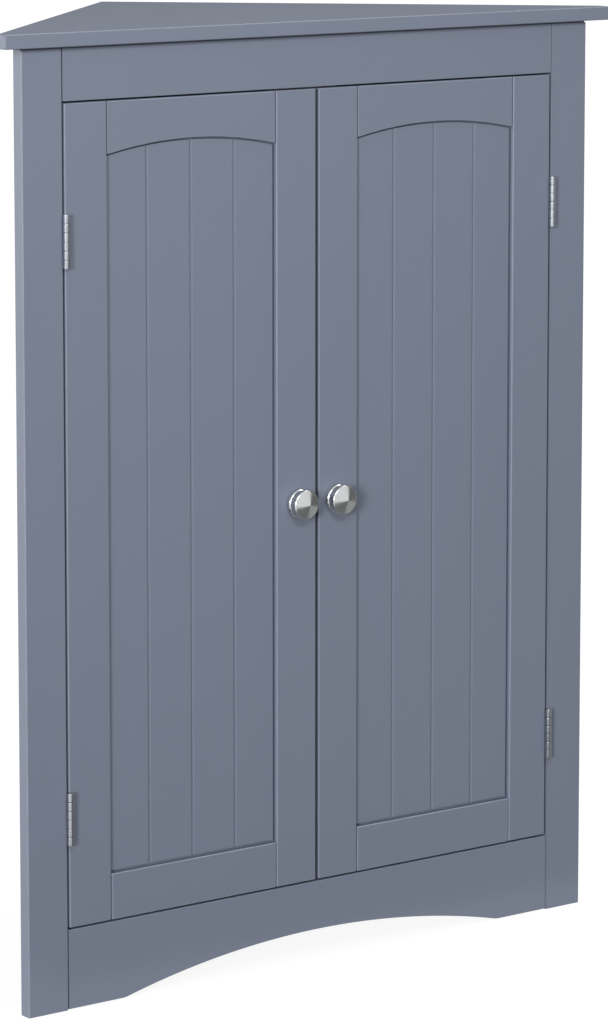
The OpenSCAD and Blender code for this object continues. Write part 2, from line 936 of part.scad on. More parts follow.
module frame_dowels() {
    color(bare_board)
        in_place() {
            rail_dowels(apron_lift, apron_top);
            rail_dowels(top_rail_z, carcass_top);
            bottom_dowels();
            top_dowels();
        }
}

module cam_locks() {
    color(steel)
        in_place() {
            at_top_cams()
                cam_lock(side_t);
            at_bottom_cams()
                cam_lock(shelf_t);
        }
}

module cam_bolts() {
    color(steel)
        in_place() {
            at_top_cams()
                cam_bolt();
            at_bottom_cams()
                cam_bolt();
        }
}

module corner_screws() {
    color(steel)
        in_place()
            at_corner_screws()
                corner_screw();
}

module left_frame_leaves() {
    color(nickel)
        in_place()
            frame_leaves(-1);
}

module right_frame_leaves() {
    color(nickel)
        in_place()
            frame_leaves(1);
}

module hinge_pins() {
    color(nickel)
        in_place()
            for (side = [-1, 1], z = hinge_heights)
                on_side(side)
                    translate([hinge_x, hinge_y, z])
                        cylinder(d = pin_d, h = hinge_l, $fn = round_fn);
}

module frame_leaf_screws() {
    color(nickel)
        in_place() {
            leaf_screws(-1, 1);
            leaf_screws(1, 1);
        }
}

module left_hinge_stile() {
    color(paint)
        in_place()
            door_hinge_stile(-1);
}

module left_lock_stile() {
    color(paint)
        in_place()
            door_lock_stile(-1);
}

module left_arched_rail() {
    color(paint)
        in_place()
            door_arched_rail(-1);
}

module left_bottom_rail() {
    color(paint)
        in_place()
            door_bottom_rail(-1);
}

module left_panel() {
    color(paint)
        in_place()
            door_panel(-1);
}

module left_door_leaves() {
    color(nickel)
        in_place()
            door_leaves(-1);
}

module left_leaf_screws() {
    color(nickel)
        in_place()
            leaf_screws(-1, -1);
}

module left_knob() {
    color(nickel)
        in_place()
            door_knob(-1);
}

module left_knob_screw() {
    color(steel)
        in_place()
            knob_screw(-1);
}

module left_strike_plate() {
    color(steel)
        in_place()
            strike_plate(-1);
}

module left_strike_screw() {
    color(steel)
        in_place()
            strike_screw(-1);
}

module right_hinge_stile() {
    color(paint)
        in_place()
            door_hinge_stile(1);
}

module right_lock_stile() {
    color(paint)
        in_place()
            door_lock_stile(1);
}

module right_arched_rail() {
    color(paint)
        in_place()
            door_arched_rail(1);
}

module right_bottom_rail() {
    color(paint)
        in_place()
            door_bottom_rail(1);
}

module right_panel() {
    color(paint)
        in_place()
            door_panel(1);
}

module right_door_leaves() {
    color(nickel)
        in_place()
            door_leaves(1);
}

module right_leaf_screws() {
    color(nickel)
        in_place()
            leaf_screws(1, -1);
}

module right_knob() {
    color(nickel)
        in_place()
            door_knob(1);
}

module right_knob_screw() {
    color(steel)
        in_place()
            knob_screw(1);
}

module right_strike_plate() {
    color(steel)
        in_place()
            strike_plate(1);
}

module right_strike_screw() {
    color(steel)
        in_place()
            strike_screw(1);
}

top_board();
left_frame_stile();
right_frame_stile();
top_frame_rail();
apron();
left_side_panel();
right_side_panel();
bottom_panel();
lower_shelf();
upper_shelf();
shelf_pins();
catch_cleat();
catch_housing();
catch_magnets();
catch_screws();
frame_dowels();
cam_locks();
cam_bolts();
corner_screws();
left_frame_leaves();
right_frame_leaves();
hinge_pins();
frame_leaf_screws();
left_hinge_stile();
left_lock_stile();
left_arched_rail();
left_bottom_rail();
left_panel();
left_door_leaves();
left_leaf_screws();
left_knob();
left_knob_screw();
left_strike_plate();
left_strike_screw();
right_hinge_stile();
right_lock_stile();
right_arched_rail();
right_bottom_rail();
right_panel();
right_door_leaves();
right_leaf_screws();
right_knob();
right_knob_screw();
right_strike_plate();
right_strike_screw();
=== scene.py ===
"""Corner floor cabinet with two bead-board doors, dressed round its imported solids.

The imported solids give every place, body and joint. Each sub-assembly is a class that builds finer
pieces in their places: boards with rounded edges, grooved panels, turned knobs, rolled hinges and
screws with cross recesses. Sizes are millimetres from the face of the cabinet, and the last step
of each piece brings it to metres over the middle of the floor.
"""

import logging
import math
from contextlib import contextmanager
from dataclasses import dataclass
from enum import Enum
from typing import Any, Iterator, Mapping, NamedTuple, Sequence

import bmesh
import bpy
from mathutils import Matrix, Vector


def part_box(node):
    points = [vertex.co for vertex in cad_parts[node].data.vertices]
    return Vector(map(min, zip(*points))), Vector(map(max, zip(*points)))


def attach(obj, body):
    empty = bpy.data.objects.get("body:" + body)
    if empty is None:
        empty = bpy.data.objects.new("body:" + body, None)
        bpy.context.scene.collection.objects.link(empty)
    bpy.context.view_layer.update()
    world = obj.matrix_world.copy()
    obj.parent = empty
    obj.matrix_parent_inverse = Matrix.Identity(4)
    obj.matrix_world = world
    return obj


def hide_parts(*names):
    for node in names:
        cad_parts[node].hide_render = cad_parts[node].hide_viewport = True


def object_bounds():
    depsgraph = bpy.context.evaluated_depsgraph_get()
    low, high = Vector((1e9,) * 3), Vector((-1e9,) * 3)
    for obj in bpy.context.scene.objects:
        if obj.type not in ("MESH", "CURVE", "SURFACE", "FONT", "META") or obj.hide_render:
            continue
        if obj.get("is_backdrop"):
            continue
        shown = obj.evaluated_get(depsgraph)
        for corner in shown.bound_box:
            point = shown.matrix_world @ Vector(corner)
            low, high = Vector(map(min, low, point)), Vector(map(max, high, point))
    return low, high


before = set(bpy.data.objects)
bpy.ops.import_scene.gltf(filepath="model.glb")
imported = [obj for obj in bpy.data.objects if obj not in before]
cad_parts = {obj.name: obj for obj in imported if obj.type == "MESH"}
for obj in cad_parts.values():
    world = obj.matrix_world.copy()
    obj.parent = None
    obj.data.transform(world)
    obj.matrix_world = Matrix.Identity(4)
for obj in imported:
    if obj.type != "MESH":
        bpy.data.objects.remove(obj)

LOG = logging.getLogger("corner_cabinet")

MM = 0.001
ROOT2 = math.sqrt(2.0)
FACE_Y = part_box("left_frame_stile")[0].y

# Angles in degrees above which an edge stays sharp, on boards and on turned metal.
BOARD_CREASE = 40.0
METAL_CREASE = 32.0

# How far a cutting form reaches past the surface that it cuts.
OVER = 1.0

# How near the axis, or each other, points count as one.
ON_AXIS = 1e-6
MERGED = 0.0005

# Facets round a bore, a screw and a pin, and steps from a round head's crown to its rim.
DRILL_FACETS = 32
SCREW_FACETS = 40
PIN_FACETS = 40
CROWN_STEPS = 10

# Length of a screw's point, and how far in and down each corner of a flat head's rim lies.
SCREW_POINT = 1.6
HEAD_EDGE = ((0.25, 0.0), (0.07, 0.04), (0.0, 0.16))
HEAD_LAND = 0.12

# Width and depth of a cross recess as shares of the head.
RECESS_WIDTH = 0.56
RECESS_DEPTH = 0.30

# Where the middle of a turned corner lies, as a share of its ease.
EASE_MIDDLE = 0.3
SHOULDER = 0.6

# How far a lying sheet of painted reflection stands over the floor, in metres.
CARD_LIFT = 0.01

Flat = tuple[float, float]
Point = tuple[float, float, float]
Colour = tuple[float, float, float, float]
Placing = tuple[Sequence[float], Sequence[float]]
Value = Any
Inputs = Mapping[str | int, Value]


class Side(Enum):
    """Which half of the cabinet a piece belongs to."""

    LEFT = -1
    RIGHT = 1

    @property
    def word(self) -> str:
        """The side's name as the solids spell it."""
        return self.name.lower()

    @property
    def door(self) -> "Body":
        """The door body on this side."""
        return Body[f"{self.name}_DOOR"]

    def turned(self, spot: Sequence[float]) -> Vector:
        """A point or heading of the right-hand half, mirrored for the left."""
        return Vector((self.value * spot[0], spot[1], spot[2]))


class Body(Enum):
    """The moving bodies of the frame."""

    CARCASS = "carcass"
    LEFT_DOOR = "left_door"
    RIGHT_DOOR = "right_door"


class Slot(Enum):
    """The record's finishes."""

    PAINT = "painted_board"
    NICKEL = "brushed_nickel"
    ZINC = "zinc_steel"
    WOOD = "bare_wood"
    PLASTIC = "white_plastic"


class Axis(Enum):
    """The direction a prism's outline is drawn out along."""

    X = 0
    Y = 1
    Z = 2

    def spot(self, flat: Flat, depth: float) -> Point:
        """A point of the outline at a depth along this axis."""
        return (*flat[:self.value], depth, *flat[self.value:])


class Grain(Enum):
    """How the fine lines of a worked metal run."""

    TURNED = "turned"
    DRAWN = "drawn"
    PLATED = "plated"


class Span(NamedTuple):
    """Lowest and highest corner of a solid, in millimetres from the face."""

    low: Vector
    high: Vector

    @classmethod
    def of(cls, node: str, side: Side = Side.RIGHT) -> "Span":
        """Reads a solid's box, turned over to the right-hand half for a left-hand one.

        Args:
            node: Name of the solid.
            side: The half that the solid stands in.

        Returns:
            The box as it would be on the right-hand half.
        """
        low, high = (Vector((p.x, p.y - FACE_Y, p.z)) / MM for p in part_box(node))
        if side is Side.LEFT:
            low.x, high.x = -high.x, -low.x
        return cls(low, high)

    @property
    def middle(self) -> Vector:
        """The middle of the box."""
        return (self.low + self.high) / 2


@contextmanager
def edited(mesh: bpy.types.Mesh) -> Iterator[bmesh.types.BMesh]:
    """Opens a mesh for editing and writes it back.

    Args:
        mesh: The mesh to edit.

    Yields:
        Its faces, edges and points.
    """
    work = bmesh.new()
    work.from_mesh(mesh)
    yield work
    work.to_mesh(mesh)
    work.free()
    mesh.update()


def linked(name: str, data: bpy.types.ID) -> bpy.types.Object:
    """Puts a mesh, a lamp or a camera into the scene.

    Args:
        name: Name of the object.
        data: What it shows.

    Returns:
        The object.
    """
    made = bpy.data.objects.new(name, data)
    bpy.context.scene.collection.objects.link(made)
    return made


def baked(holder: bpy.types.Object) -> bpy.types.Mesh:
    """Turns what an object's modifiers make into a plain mesh and removes the object.

    Args:
        holder: An object in the scene with its modifiers.

    Returns:
        A new mesh with the result.
    """
    bpy.context.view_layer.update()
    graph = bpy.context.evaluated_depsgraph_get()
    mesh = bpy.data.meshes.new_from_object(
        holder.evaluated_get(graph), preserve_all_data_layers=True, depsgraph=graph)
    bpy.data.objects.remove(holder)
    return mesh


def arc(centre: Flat, radius: float, start: float, end: float, steps: int) -> list[Flat]:
    """Points along an arc, both ends included.

    Args:
        centre: Middle of the circle.
        radius: Radius of the circle.
        start: Angle of the first point in degrees.
        end: Angle of the last point in degrees.
        steps: Number of pieces that the arc is cut into.

    Returns:
        The points in order.
    """
    angles = [math.radians(start + (end - start) * k / steps) for k in range(steps + 1)]
    return [(centre[0] + radius * math.cos(a), centre[1] + radius * math.sin(a)) for a in angles]


def aimed(place: Sequence[float], heading: Sequence[float]) -> Matrix:
    """The placing that brings the origin to a point and +Z along a heading."""
    turn = Vector((0, 0, 1)).rotation_difference(Vector(heading)).to_matrix().to_4x4()
    return Matrix.Translation(Vector(place)) @ turn


class Solid:
    """A closed form under construction, in millimetres from the face."""

    def __init__(self, mesh: bpy.types.Mesh) -> None:
        """Takes over a mesh."""
        self.mesh = mesh

    @classmethod
    def prism(cls, outline: Sequence[Flat], low: float, high: float,
              axis: Axis = Axis.Y) -> "Solid":
        """A flat outline drawn out along an axis.

        Args:
            outline: Corners in order, in the two other axes.
            low: Where the prism starts along the axis.
            high: Where it ends.
            axis: The axis.

        Returns:
            The closed prism.
        """
        solid = cls(bpy.data.meshes.new("prism"))
        with edited(solid.mesh) as work:
            near, far = [[work.verts.new(axis.spot(flat, depth)) for flat in outline]
                         for depth in (low, high)]
            work.faces.new(near)
            work.faces.new(far)
            for k in range(len(outline)):
                after = (k + 1) % len(outline)
                work.faces.new((near[k], near[after], far[after], far[k]))
            bmesh.ops.recalc_face_normals(work, faces=work.faces)
        return solid

    @classmethod
    def block(cls, low: Sequence[float], high: Sequence[float]) -> "Solid":
        """A plain block between two corners, as a start for cuts and rounding."""
        corners = [(low[0], low[2]), (high[0], low[2]), (high[0], high[2]), (low[0], high[2])]
        return cls.prism(corners, low[1], high[1])

    @classmethod
    def lathe(cls, profile: Sequence[Flat], steps: int = 64, loop: bool = False) -> "Solid":
        """A profile turned about the Z axis, with its length kept on the points as "along".

        Args:
            profile: Radius and height of each corner, in order.
            steps: Number of facets round the axis.
            loop: True for a ring, whose profile closes on itself.

        Returns:
            The closed turned form.
        """
        solid = cls(bpy.data.meshes.new("lathe"))
        travelled = [0.0]
        for before, after in zip(profile, profile[1:]):
            travelled.append(travelled[-1] + math.dist(before, after))
        with edited(solid.mesh) as work:
            along = work.verts.layers.float.new("along")
            rings = []
            for (radius, height), run in zip(profile, travelled):
                turns = range(1 if radius < ON_AXIS else steps)
                ring = [work.verts.new((radius * math.cos(a), radius * math.sin(a), height))
                        for a in (math.tau * k / steps for k in turns)]
                for vert in ring:
                    vert[along] = run
                rings.append(ring)
            pairs = list(zip(rings, rings[1:])) + ([(rings[-1], rings[0])] if loop else [])
            for lower, upper in pairs:
                for k in range(steps):
                    after = (k + 1) % steps
                    if len(lower) == 1:
                        work.faces.new((lower[0], upper[after], upper[k]))
                    elif len(upper) == 1:
                        work.faces.new((lower[k], lower[after], upper[0]))
                    else:
                        work.faces.new((lower[k], lower[after], upper[after], upper[k]))
            bmesh.ops.recalc_face_normals(work, faces=work.faces)
        return solid

    @classmethod
    def drill(cls, place: Sequence[float], heading: Sequence[float], diameter: float,
              depth: float, head: float = 0.0) -> "Solid":
        """The form that a drill takes out, with a countersink where a head diameter is given.

        Args:
            place: Where the drill enters.
            heading: The way it goes.
            diameter: Diameter of the bore.
            depth: Depth of the bore.
            head: Diameter of the countersink at the surface.

        Returns:
            The drill's form, which starts a little outside the surface.
        """
        radius, wide = diameter / 2, head / 2
        mouth = [(0, -OVER), (wide, -OVER), (wide, 0), (radius, wide - radius)]
        profile = mouth if head else [(0, -OVER), (radius, -OVER)]
        profile += [(radius, depth - radius / 2), (0, depth)]
        return cls.lathe(profile, DRILL_FACETS).set_at(aimed(place, heading))

    def set_at(self, placing: Matrix) -> "Solid":
        """Moves and turns the form.

        Args:
            placing: The move and turn.

        Returns:
            The form itself.
        """
        self.mesh.transform(placing)
        self.mesh.update()
        return self

    def rounded(self, radius: float, segments: int = 3, above: float = 20.0,
                wear: float = 1.0) -> "Solid":
        """Rounds every edge that is sharper than an angle and marks the rounding's faces, which the
        lacquer draws paler as rubbing and painted highlight.

        Args:
            radius: Radius of the rounding.
            segments: Number of facets across it.
            above: Least angle in degrees between the faces of an edge that is rounded.
            wear: How far the rounding is drawn paler, partly as rubbing and partly as painted
                highlight, where 1 is usual.

        Returns:
            The form itself.
        """
        with edited(self.mesh) as work:
            mark = work.faces.layers.float.new("rounding")
            sharp = [e for e in work.edges if e.calc_face_angle(0.0) > math.radians(above)]
            made = bmesh.ops.bevel(work, geom=sharp, offset=radius, segments=segments,
                                   profile=0.5, affect="EDGES", clamp_overlap=True)
            for face in made["faces"]:
                face[mark] = wear
        return self

    def seamed(self, *lines: float, share: float = 1.0, reach: float = 1.0,
               level: bool = False) -> "Solid":
        """Marks the faces along joints, gaps and rebates for painted shade: the lacquer is drawn
        darker where shade falls between parts.

        Args:
            *lines: X of each upright joint, or Z of each level one.
            share: How much painted shade, where 1 is usual.
            reach: How far the middle of a marked face may lie from the joint.
            level: True where the joints lie level.

        Returns:
            The form itself.
        """
        with edited(self.mesh) as work:
            mark = work.faces.layers.float["rounding"]
            for face in work.faces:
                middle = face.calc_center_median()
                across = middle.z if level else middle.x
                if any(abs(across - line) < reach for line in lines):
                    face[mark] = -share
        return self

    def _combined(self, others: Sequence["Solid"], operation: str) -> "Solid":
        """Joins or cuts with other forms.

        Args:
            others: The other forms, which are used up.
            operation: What the Boolean modifier does.

        Returns:
            The form itself.
        """
        holder = linked("work", self.mesh)
        tools = [linked("tool", other.mesh) for other in others]
        for tool in tools:
            step = holder.modifiers.new("step", "BOOLEAN")
            step.operation = operation
            step.solver = "EXACT"
            step.object = tool
        self.mesh = baked(holder)
        for tool in tools:
            bpy.data.objects.remove(tool)
        return self

    def cut(self, *tools: "Solid") -> "Solid":
        """Takes other forms out of this one."""
        return self._combined(tools, "DIFFERENCE")

    def fused(self, *others: "Solid") -> "Solid":
        """Adds other forms to this one."""
        return self._combined(others, "UNION")

    def with_loose(self, other: "Solid") -> "Solid":
        """Puts a separate form beside this one in the same mesh.

        Args:
            other: The separate form.

        Returns:
            The form itself.
        """
        with edited(self.mesh) as work:
            work.from_mesh(other.mesh)
        return self

    def on(self, side: Side) -> "Solid":
        """Mirrors a right-hand form for the left side, with its faces turned out again.

        Args:
            side: The side that the form is for.

        Returns:
            The form itself.
        """
        if side is Side.LEFT:
            self.mesh.transform(Matrix.Diagonal((-1, 1, 1, 1)))
            with edited(self.mesh) as work:
                bmesh.ops.recalc_face_normals(work, faces=work.faces)
        return self

    def settled(self, name: str, material: bpy.types.Material, crease: float) -> bpy.types.Object:
        """Brings the form to its place in metres with clean shading and its finish.

        Args:
            name: Name of the piece.
            material: Its finish.
            crease: Angle in degrees above which an edge stays sharp.

        Returns:
            The piece, with its place in its mesh.
        """
        with edited(self.mesh) as work:
            bmesh.ops.remove_doubles(work, verts=work.verts, dist=MERGED)
        self.mesh.transform(Matrix.Translation((0, FACE_Y, 0)) @ Matrix.Scale(MM, 4))
        self.mesh.polygons.foreach_set("use_smooth", [True] * len(self.mesh.polygons))
        self.mesh.set_sharp_from_angle(angle=math.radians(crease))
        holder = linked("holder", self.mesh)
        even = holder.modifiers.new("even", "WEIGHTED_NORMAL")
        even.keep_sharp = True
        even.mode = "FACE_AREA_WITH_ANGLE"
        mesh = baked(holder)
        mesh.name = name
        mesh.materials.clear()
        mesh.materials.append(material)
        return linked(name, mesh)


class Wire:
    """An output of a node that takes part in sums like a number."""

    def __init__(self, graph: "Graph", socket: bpy.types.NodeSocket) -> None:
        """Keeps the socket and the tree it belongs to."""
        self.graph = graph
        self.socket = socket

    def __add__(self, other: Value) -> "Wire":
        """self + other."""
        return self.graph.maths("ADD", self, other)

    __radd__ = __add__

    def __sub__(self, other: Value) -> "Wire":
        """self - other."""
        return self.graph.maths("SUBTRACT", self, other)

    def __rsub__(self, other: float) -> "Wire":
        """other - self."""
        return self.graph.maths("SUBTRACT", other, self)

    def __mul__(self, other: Value) -> "Wire":
        """self * other."""
        return self.graph.maths("MULTIPLY", self, other)

    __rmul__ = __mul__

    def __truediv__(self, other: Value) -> "Wire":
        """self / other."""
        return self.graph.maths("DIVIDE", self, other)

    def __pow__(self, other: float) -> "Wire":
        """self ** other."""
        return self.graph.maths("POWER", self, other)

    def __abs__(self) -> "Wire":
        """abs(self)."""
        return self.graph.maths("ABSOLUTE", self)

    def __lt__(self, other: Value) -> "Wire":
        """1 where self is below other and 0 elsewhere."""
        return self.graph.maths("LESS_THAN", self, other)


class Graph:
    """The nodes of one tree."""

    def __init__(self, tree: bpy.types.NodeTree) -> None:
        """Takes over a tree."""
        self.tree = tree

    @classmethod
    def shading(cls, owner: bpy.types.Material | bpy.types.World) -> "Graph":
        """Empties the tree of a material or a world and takes it over.

        Args:
            owner: The material or the world.

        Returns:
            Its tree's nodes, of which there are none yet.
        """
        owner.use_nodes = True
        owner.node_tree.nodes.clear()
        return cls(owner.node_tree)

    def node(self, kind: str, inputs: Inputs | None = None, **settings: Any) -> bpy.types.Node:
        """Adds a node.

        Args:
            kind: Type of the node.
            inputs: Values or wires for its sockets, by name or place.
            **settings: Its properties, which are set first.

        Returns:
            The node.
        """
        made = self.tree.nodes.new(kind)
        for name, value in settings.items():
            setattr(made, name, value)
        for key, value in (inputs or {}).items():
            if isinstance(value, Wire):
                self.tree.links.new(value.socket, made.inputs[key])
            else:
                made.inputs[key].default_value = value
        return made

    def wire(self, kind: str, inputs: Inputs | None = None, output: str | int = 0,
             **settings: Any) -> Wire:
        """Adds a node and gives one of its outputs.

        Args:
            kind: Type of the node.
            inputs: Values or wires for its sockets.
            output: Name or place of the output.
            **settings: Its properties.

        Returns:
            The output.
        """
        return Wire(self, self.node(kind, inputs, **settings).outputs[output])

    def wires(self, made: bpy.types.Node, *names: str) -> list[Wire]:
        """Some outputs of a node, by their names."""
        return [Wire(self, made.outputs[name]) for name in names]

    def maths(self, operation: str, *values: Value) -> Wire:
        """Adds a sum on numbers."""
        return self.wire("ShaderNodeMath", dict(enumerate(values)), operation=operation)

    def attribute(self, name: str) -> Wire:
        """A number that the mesh carries under a name."""
        return self.wire("ShaderNodeAttribute", output="Fac", attribute_name=name)

    def tinted(self, colour: Colour, share: Wire) -> Wire:
        """A colour made lighter or darker by a share that varies."""
        return self.wire("ShaderNodeVectorMath", {0: colour[:3], "Scale": share},
                         operation="SCALE")

    def blended(self, share: Value, first: Value, second: Value) -> Wire:
        """A mix of two colours by a share."""
        return self.wire("ShaderNodeMix", {0: share, 6: first, 7: second}, 2, data_type="RGBA")

    def noise(self, where: Wire, per_metre: float, detail: float = 2.0) -> Wire:
        """A noise about the value 0.5, with its grain size given by its count in a metre."""
        return self.wire("ShaderNodeTexNoise",
                         {"Vector": where, "Scale": per_metre, "Detail": detail}, "Fac")

    def stretched(self, where: Wire, by: Point) -> Wire:
        """Places scaled along the axes, to draw a pattern out."""
        return self.wire("ShaderNodeMapping", {"Vector": where, "Scale": by})

    def bumped(self, height: Wire, depth: float) -> Wire:
        """A normal bent by a height from 0 to 1 that stands for a depth in metres."""
        return self.wire("ShaderNodeBump", {"Height": height, "Strength": 1.0, "Distance": depth})


class Coat(NamedTuple):
    """A finish as a piece wears it."""

    slot: Slot
    material: bpy.types.Material


@dataclass(frozen=True)
class Finish:
    """A procedural finish over object coordinates."""

    name: str
    slot: Slot
    colour: Colour

    def inputs(self, graph: Graph, where: Wire) -> Inputs:
        """What goes into the surface shader.

        Args:
            graph: The material's tree.
            where: Object coordinates.

        Returns:
            Wires and values by the name of the shader's input.
        """
        raise NotImplementedError

    def coat(self) -> Coat:
        """Makes the finish's material.

        Returns:
            The material with its place in the record.
        """
        material = bpy.data.materials.new(self.name)
        graph = Graph.shading(material)
        where = graph.wire("ShaderNodeTexCoord", output="Object")
        shader = graph.wire("ShaderNodeBsdfPrincipled", self.inputs(graph, where))
        graph.node("ShaderNodeOutputMaterial", {"Surface": shader})
        return Coat(self.slot, material)


@dataclass(frozen=True)
class SatinPaint(Finish):
    """Sprayed satin lacquer: a slow drift of tone, orange peel, edges drawn paler as rubbing and
    painted highlight, and painted shade along joints, gaps and rebates.
    """

    drift: float = 0.025
    drift_count: float = 7.0
    fleck_count: float = 900.0
    # Rounded edges drawn paler: partly rubbing, partly painted highlight.
    rub: float = 0.15
    rub_count: float = 60.0
    # Painted shade along joints, gaps and rebates.
    seam: float = 0.28
    roughness: float = 0.42
    cloud: float = 0.05
    cloud_count: float = 11.0
    edge_gloss: float = 0.04
    peel_depth: float = 0.000010
    peel_count: float = 520.0

    def inputs(self, graph: Graph, where: Wire) -> Inputs:
        """The lacquer's tone, gloss and orange peel.

        Args:
            graph: The material's tree.
            where: Object coordinates.

        Returns:
            What goes into the surface shader.
        """
        tone = 1 + self.drift * (graph.noise(where, self.drift_count, 3.0) - 0.5)
        fleck = 1 + self.drift * (graph.noise(where, self.fleck_count, 1.0) - 0.5)
        mark = graph.attribute("rounding")
        edge = graph.maths("MAXIMUM", mark, 0.0)
        joint = graph.maths("MAXIMUM", mark * -1.0, 0.0)
        # Rounded edges drawn paler: partly rubbing, partly painted highlight that brightens the
        # light lines along edges.
        worn_and_highlit = edge * graph.noise(where, self.rub_count) * self.rub * 2
        smudge = graph.noise(where, self.cloud_count) - 0.5
        # Painted shade: faces marked along joints, gaps and rebates are drawn darker.
        shade = tone * fleck * (1 - self.seam * joint) + worn_and_highlit
        return {
            "Base Color": graph.tinted(self.colour, shade),
            "Roughness": self.roughness + self.cloud * smudge - self.edge_gloss * edge,
            "Normal": graph.bumped(graph.noise(where, self.peel_count), self.peel_depth),
        }


@dataclass(frozen=True)
class WorkedMetal(Finish):
    """Nickel, zinc or steel with the fine lines that its making left."""

    grain: Grain
    roughness: float = 0.21
    tone: float = 0.95
    cloud_tone: float = 0.06
    cloud_gloss: float = 0.10
    cloud_count: float = 180.0
    line_tone: float = 0.04
    line_gloss: float = 0.05
    line_depth: float = 0.000004
    fine_lines: Flat = (21.0, 0.32)
    coarse_lines: Flat = (7.3, 0.18)
    coarse_start: float = 1.1
    waver: float = 0.6
    waver_count: float = 60.0
    drawn_out: float = 0.04
    drawn_count: float = 5200.0
    plated_count: float = 1400.0

    def lines(self, graph: Graph, where: Wire) -> Wire:
        """The height of the fine lines.

        Args:
            graph: The material's tree.
            where: Object coordinates.

        Returns:
            A height from 0 to 1.
        """
        if self.grain is Grain.TURNED:
            along, waver = graph.attribute("along"), graph.noise(where, self.waver_count)
            (often, strong), (seldom, faint) = self.fine_lines, self.coarse_lines
            fine = graph.maths("SINE", along * often + waver * self.waver)
            coarse = graph.maths("SINE", along * seldom + self.coarse_start)
            return 0.5 + strong * fine + faint * coarse
        if self.grain is Grain.DRAWN:
            drawn = graph.stretched(where, (1.0, 1.0, self.drawn_out))
            return graph.noise(drawn, self.drawn_count, 3.0)
        return graph.noise(where, self.plated_count, 4.0)

    def inputs(self, graph: Graph, where: Wire) -> Inputs:
        """The metal's lines and drift of sheen.

        Args:
            graph: The material's tree.
            where: Object coordinates.

        Returns:
            What goes into the surface shader.
        """
        lines = self.lines(graph, where)
        cloud = graph.noise(where, self.cloud_count, 3.0)
        shade = self.tone + self.cloud_tone * cloud + self.line_tone * lines
        gloss = self.cloud_gloss * (cloud - 0.5) + self.line_gloss * (lines - 0.5)
        return {
            "Base Color": graph.tinted(self.colour, shade),
            "Metallic": 1.0,
            "Roughness": self.roughness + gloss,
            "Normal": graph.bumped(lines, self.line_depth),
        }


@dataclass(frozen=True)
class BareWood(Finish):
    """Planed beech without a finish: drawn-out year rings, short dark rays and open pores."""

    dark: Colour
    along: Axis
    drawn_out: float = 0.06
    ring_count: float = 240.0
    ring_contrast: float = 1.7
    ring_start: float = -0.35
    ray_count: float = 1500.0
    ray_share: float = 0.25
    ray_gloss: float = 0.12
    roughness: float = 0.62
    pore_depth: float = 0.00004

    def inputs(self, graph: Graph, where: Wire) -> Inputs:
        """The wood's rings, rays and pores.

        Args:
            graph: The material's tree.
            where: Object coordinates.

        Returns:
            What goes into the surface shader.
        """
        drawn = graph.stretched(where, self.along.spot((1.0, 1.0), self.drawn_out))
        rings = graph.noise(drawn, self.ring_count, 4.0)
        rays = graph.noise(drawn, self.ray_count)
        share = graph.maths("MULTIPLY_ADD", rings, self.ring_contrast, self.ring_start)
        return {
            "Base Color": graph.blended(share + self.ray_share * (rays - 0.5), self.colour,
                                        self.dark),
            "Roughness": self.roughness + self.ray_gloss * (rays - 0.5),
            "Normal": graph.bumped(rays, self.pore_depth),
        }


@dataclass(frozen=True)
class MouldedPlastic(Finish):
    """Moulded plastic with an even tint, a fine spark-eroded grain and a soft gloss."""

    tone: float = 0.97
    cloud_tone: float = 0.05
    cloud_gloss: float = 0.10
    cloud_count: float = 90.0
    roughness: float = 0.38
    grain_count: float = 2600.0
    grain_depth: float = 0.00001

    def inputs(self, graph: Graph, where: Wire) -> Inputs:
        """The plastic's tint, grain and gloss.

        Args:
            graph: The material's tree.
            where: Object coordinates.

        Returns:
            What goes into the surface shader.
        """
        cloud = graph.noise(where, self.cloud_count)
        return {
            "Base Color": graph.tinted(self.colour, self.tone + self.cloud_tone * cloud),
            "Roughness": self.roughness + self.cloud_gloss * (cloud - 0.5),
            "Normal": graph.bumped(graph.noise(where, self.grain_count), self.grain_depth),
        }


class Finishes:
    """Every finish of the cabinet, made once."""

    def __init__(self) -> None:
        """Mixes the paint and prepares the metals, the wood and the plastic."""
        self.paint = SatinPaint(
            "blue_grey_lacquer", Slot.PAINT, (0.217, 0.248, 0.325, 1.0)).coat()
        self.knob = WorkedMetal(
            "turned_nickel", Slot.NICKEL, (0.600, 0.612, 0.615, 1.0), Grain.TURNED).coat()
        self.hinge = WorkedMetal(
            "rolled_nickel", Slot.NICKEL, (0.40, 0.425, 0.47, 1.0), Grain.DRAWN, 0.22).coat()
        self.zinc = WorkedMetal(
            "plated_zinc", Slot.ZINC, (0.44, 0.46, 0.49, 1.0), Grain.PLATED, 0.42).coat()
        self.magnet = WorkedMetal(
            "pole_plate_steel", Slot.ZINC, (0.46, 0.47, 0.49, 1.0), Grain.PLATED, 0.42).coat()
        self.cleat = BareWood("planed_cleat", Slot.WOOD, (0.62, 0.47, 0.31, 1.0),
                              (0.44, 0.30, 0.18, 1.0), Axis.X).coat()
        self.dowel = BareWood("dowel_beech", Slot.WOOD, (0.66, 0.50, 0.34, 1.0),
                              (0.50, 0.36, 0.22, 1.0), Axis.Z).coat()
        self.plastic = MouldedPlastic(
            "catch_plastic", Slot.PLASTIC, (0.80, 0.80, 0.78, 1.0)).coat()


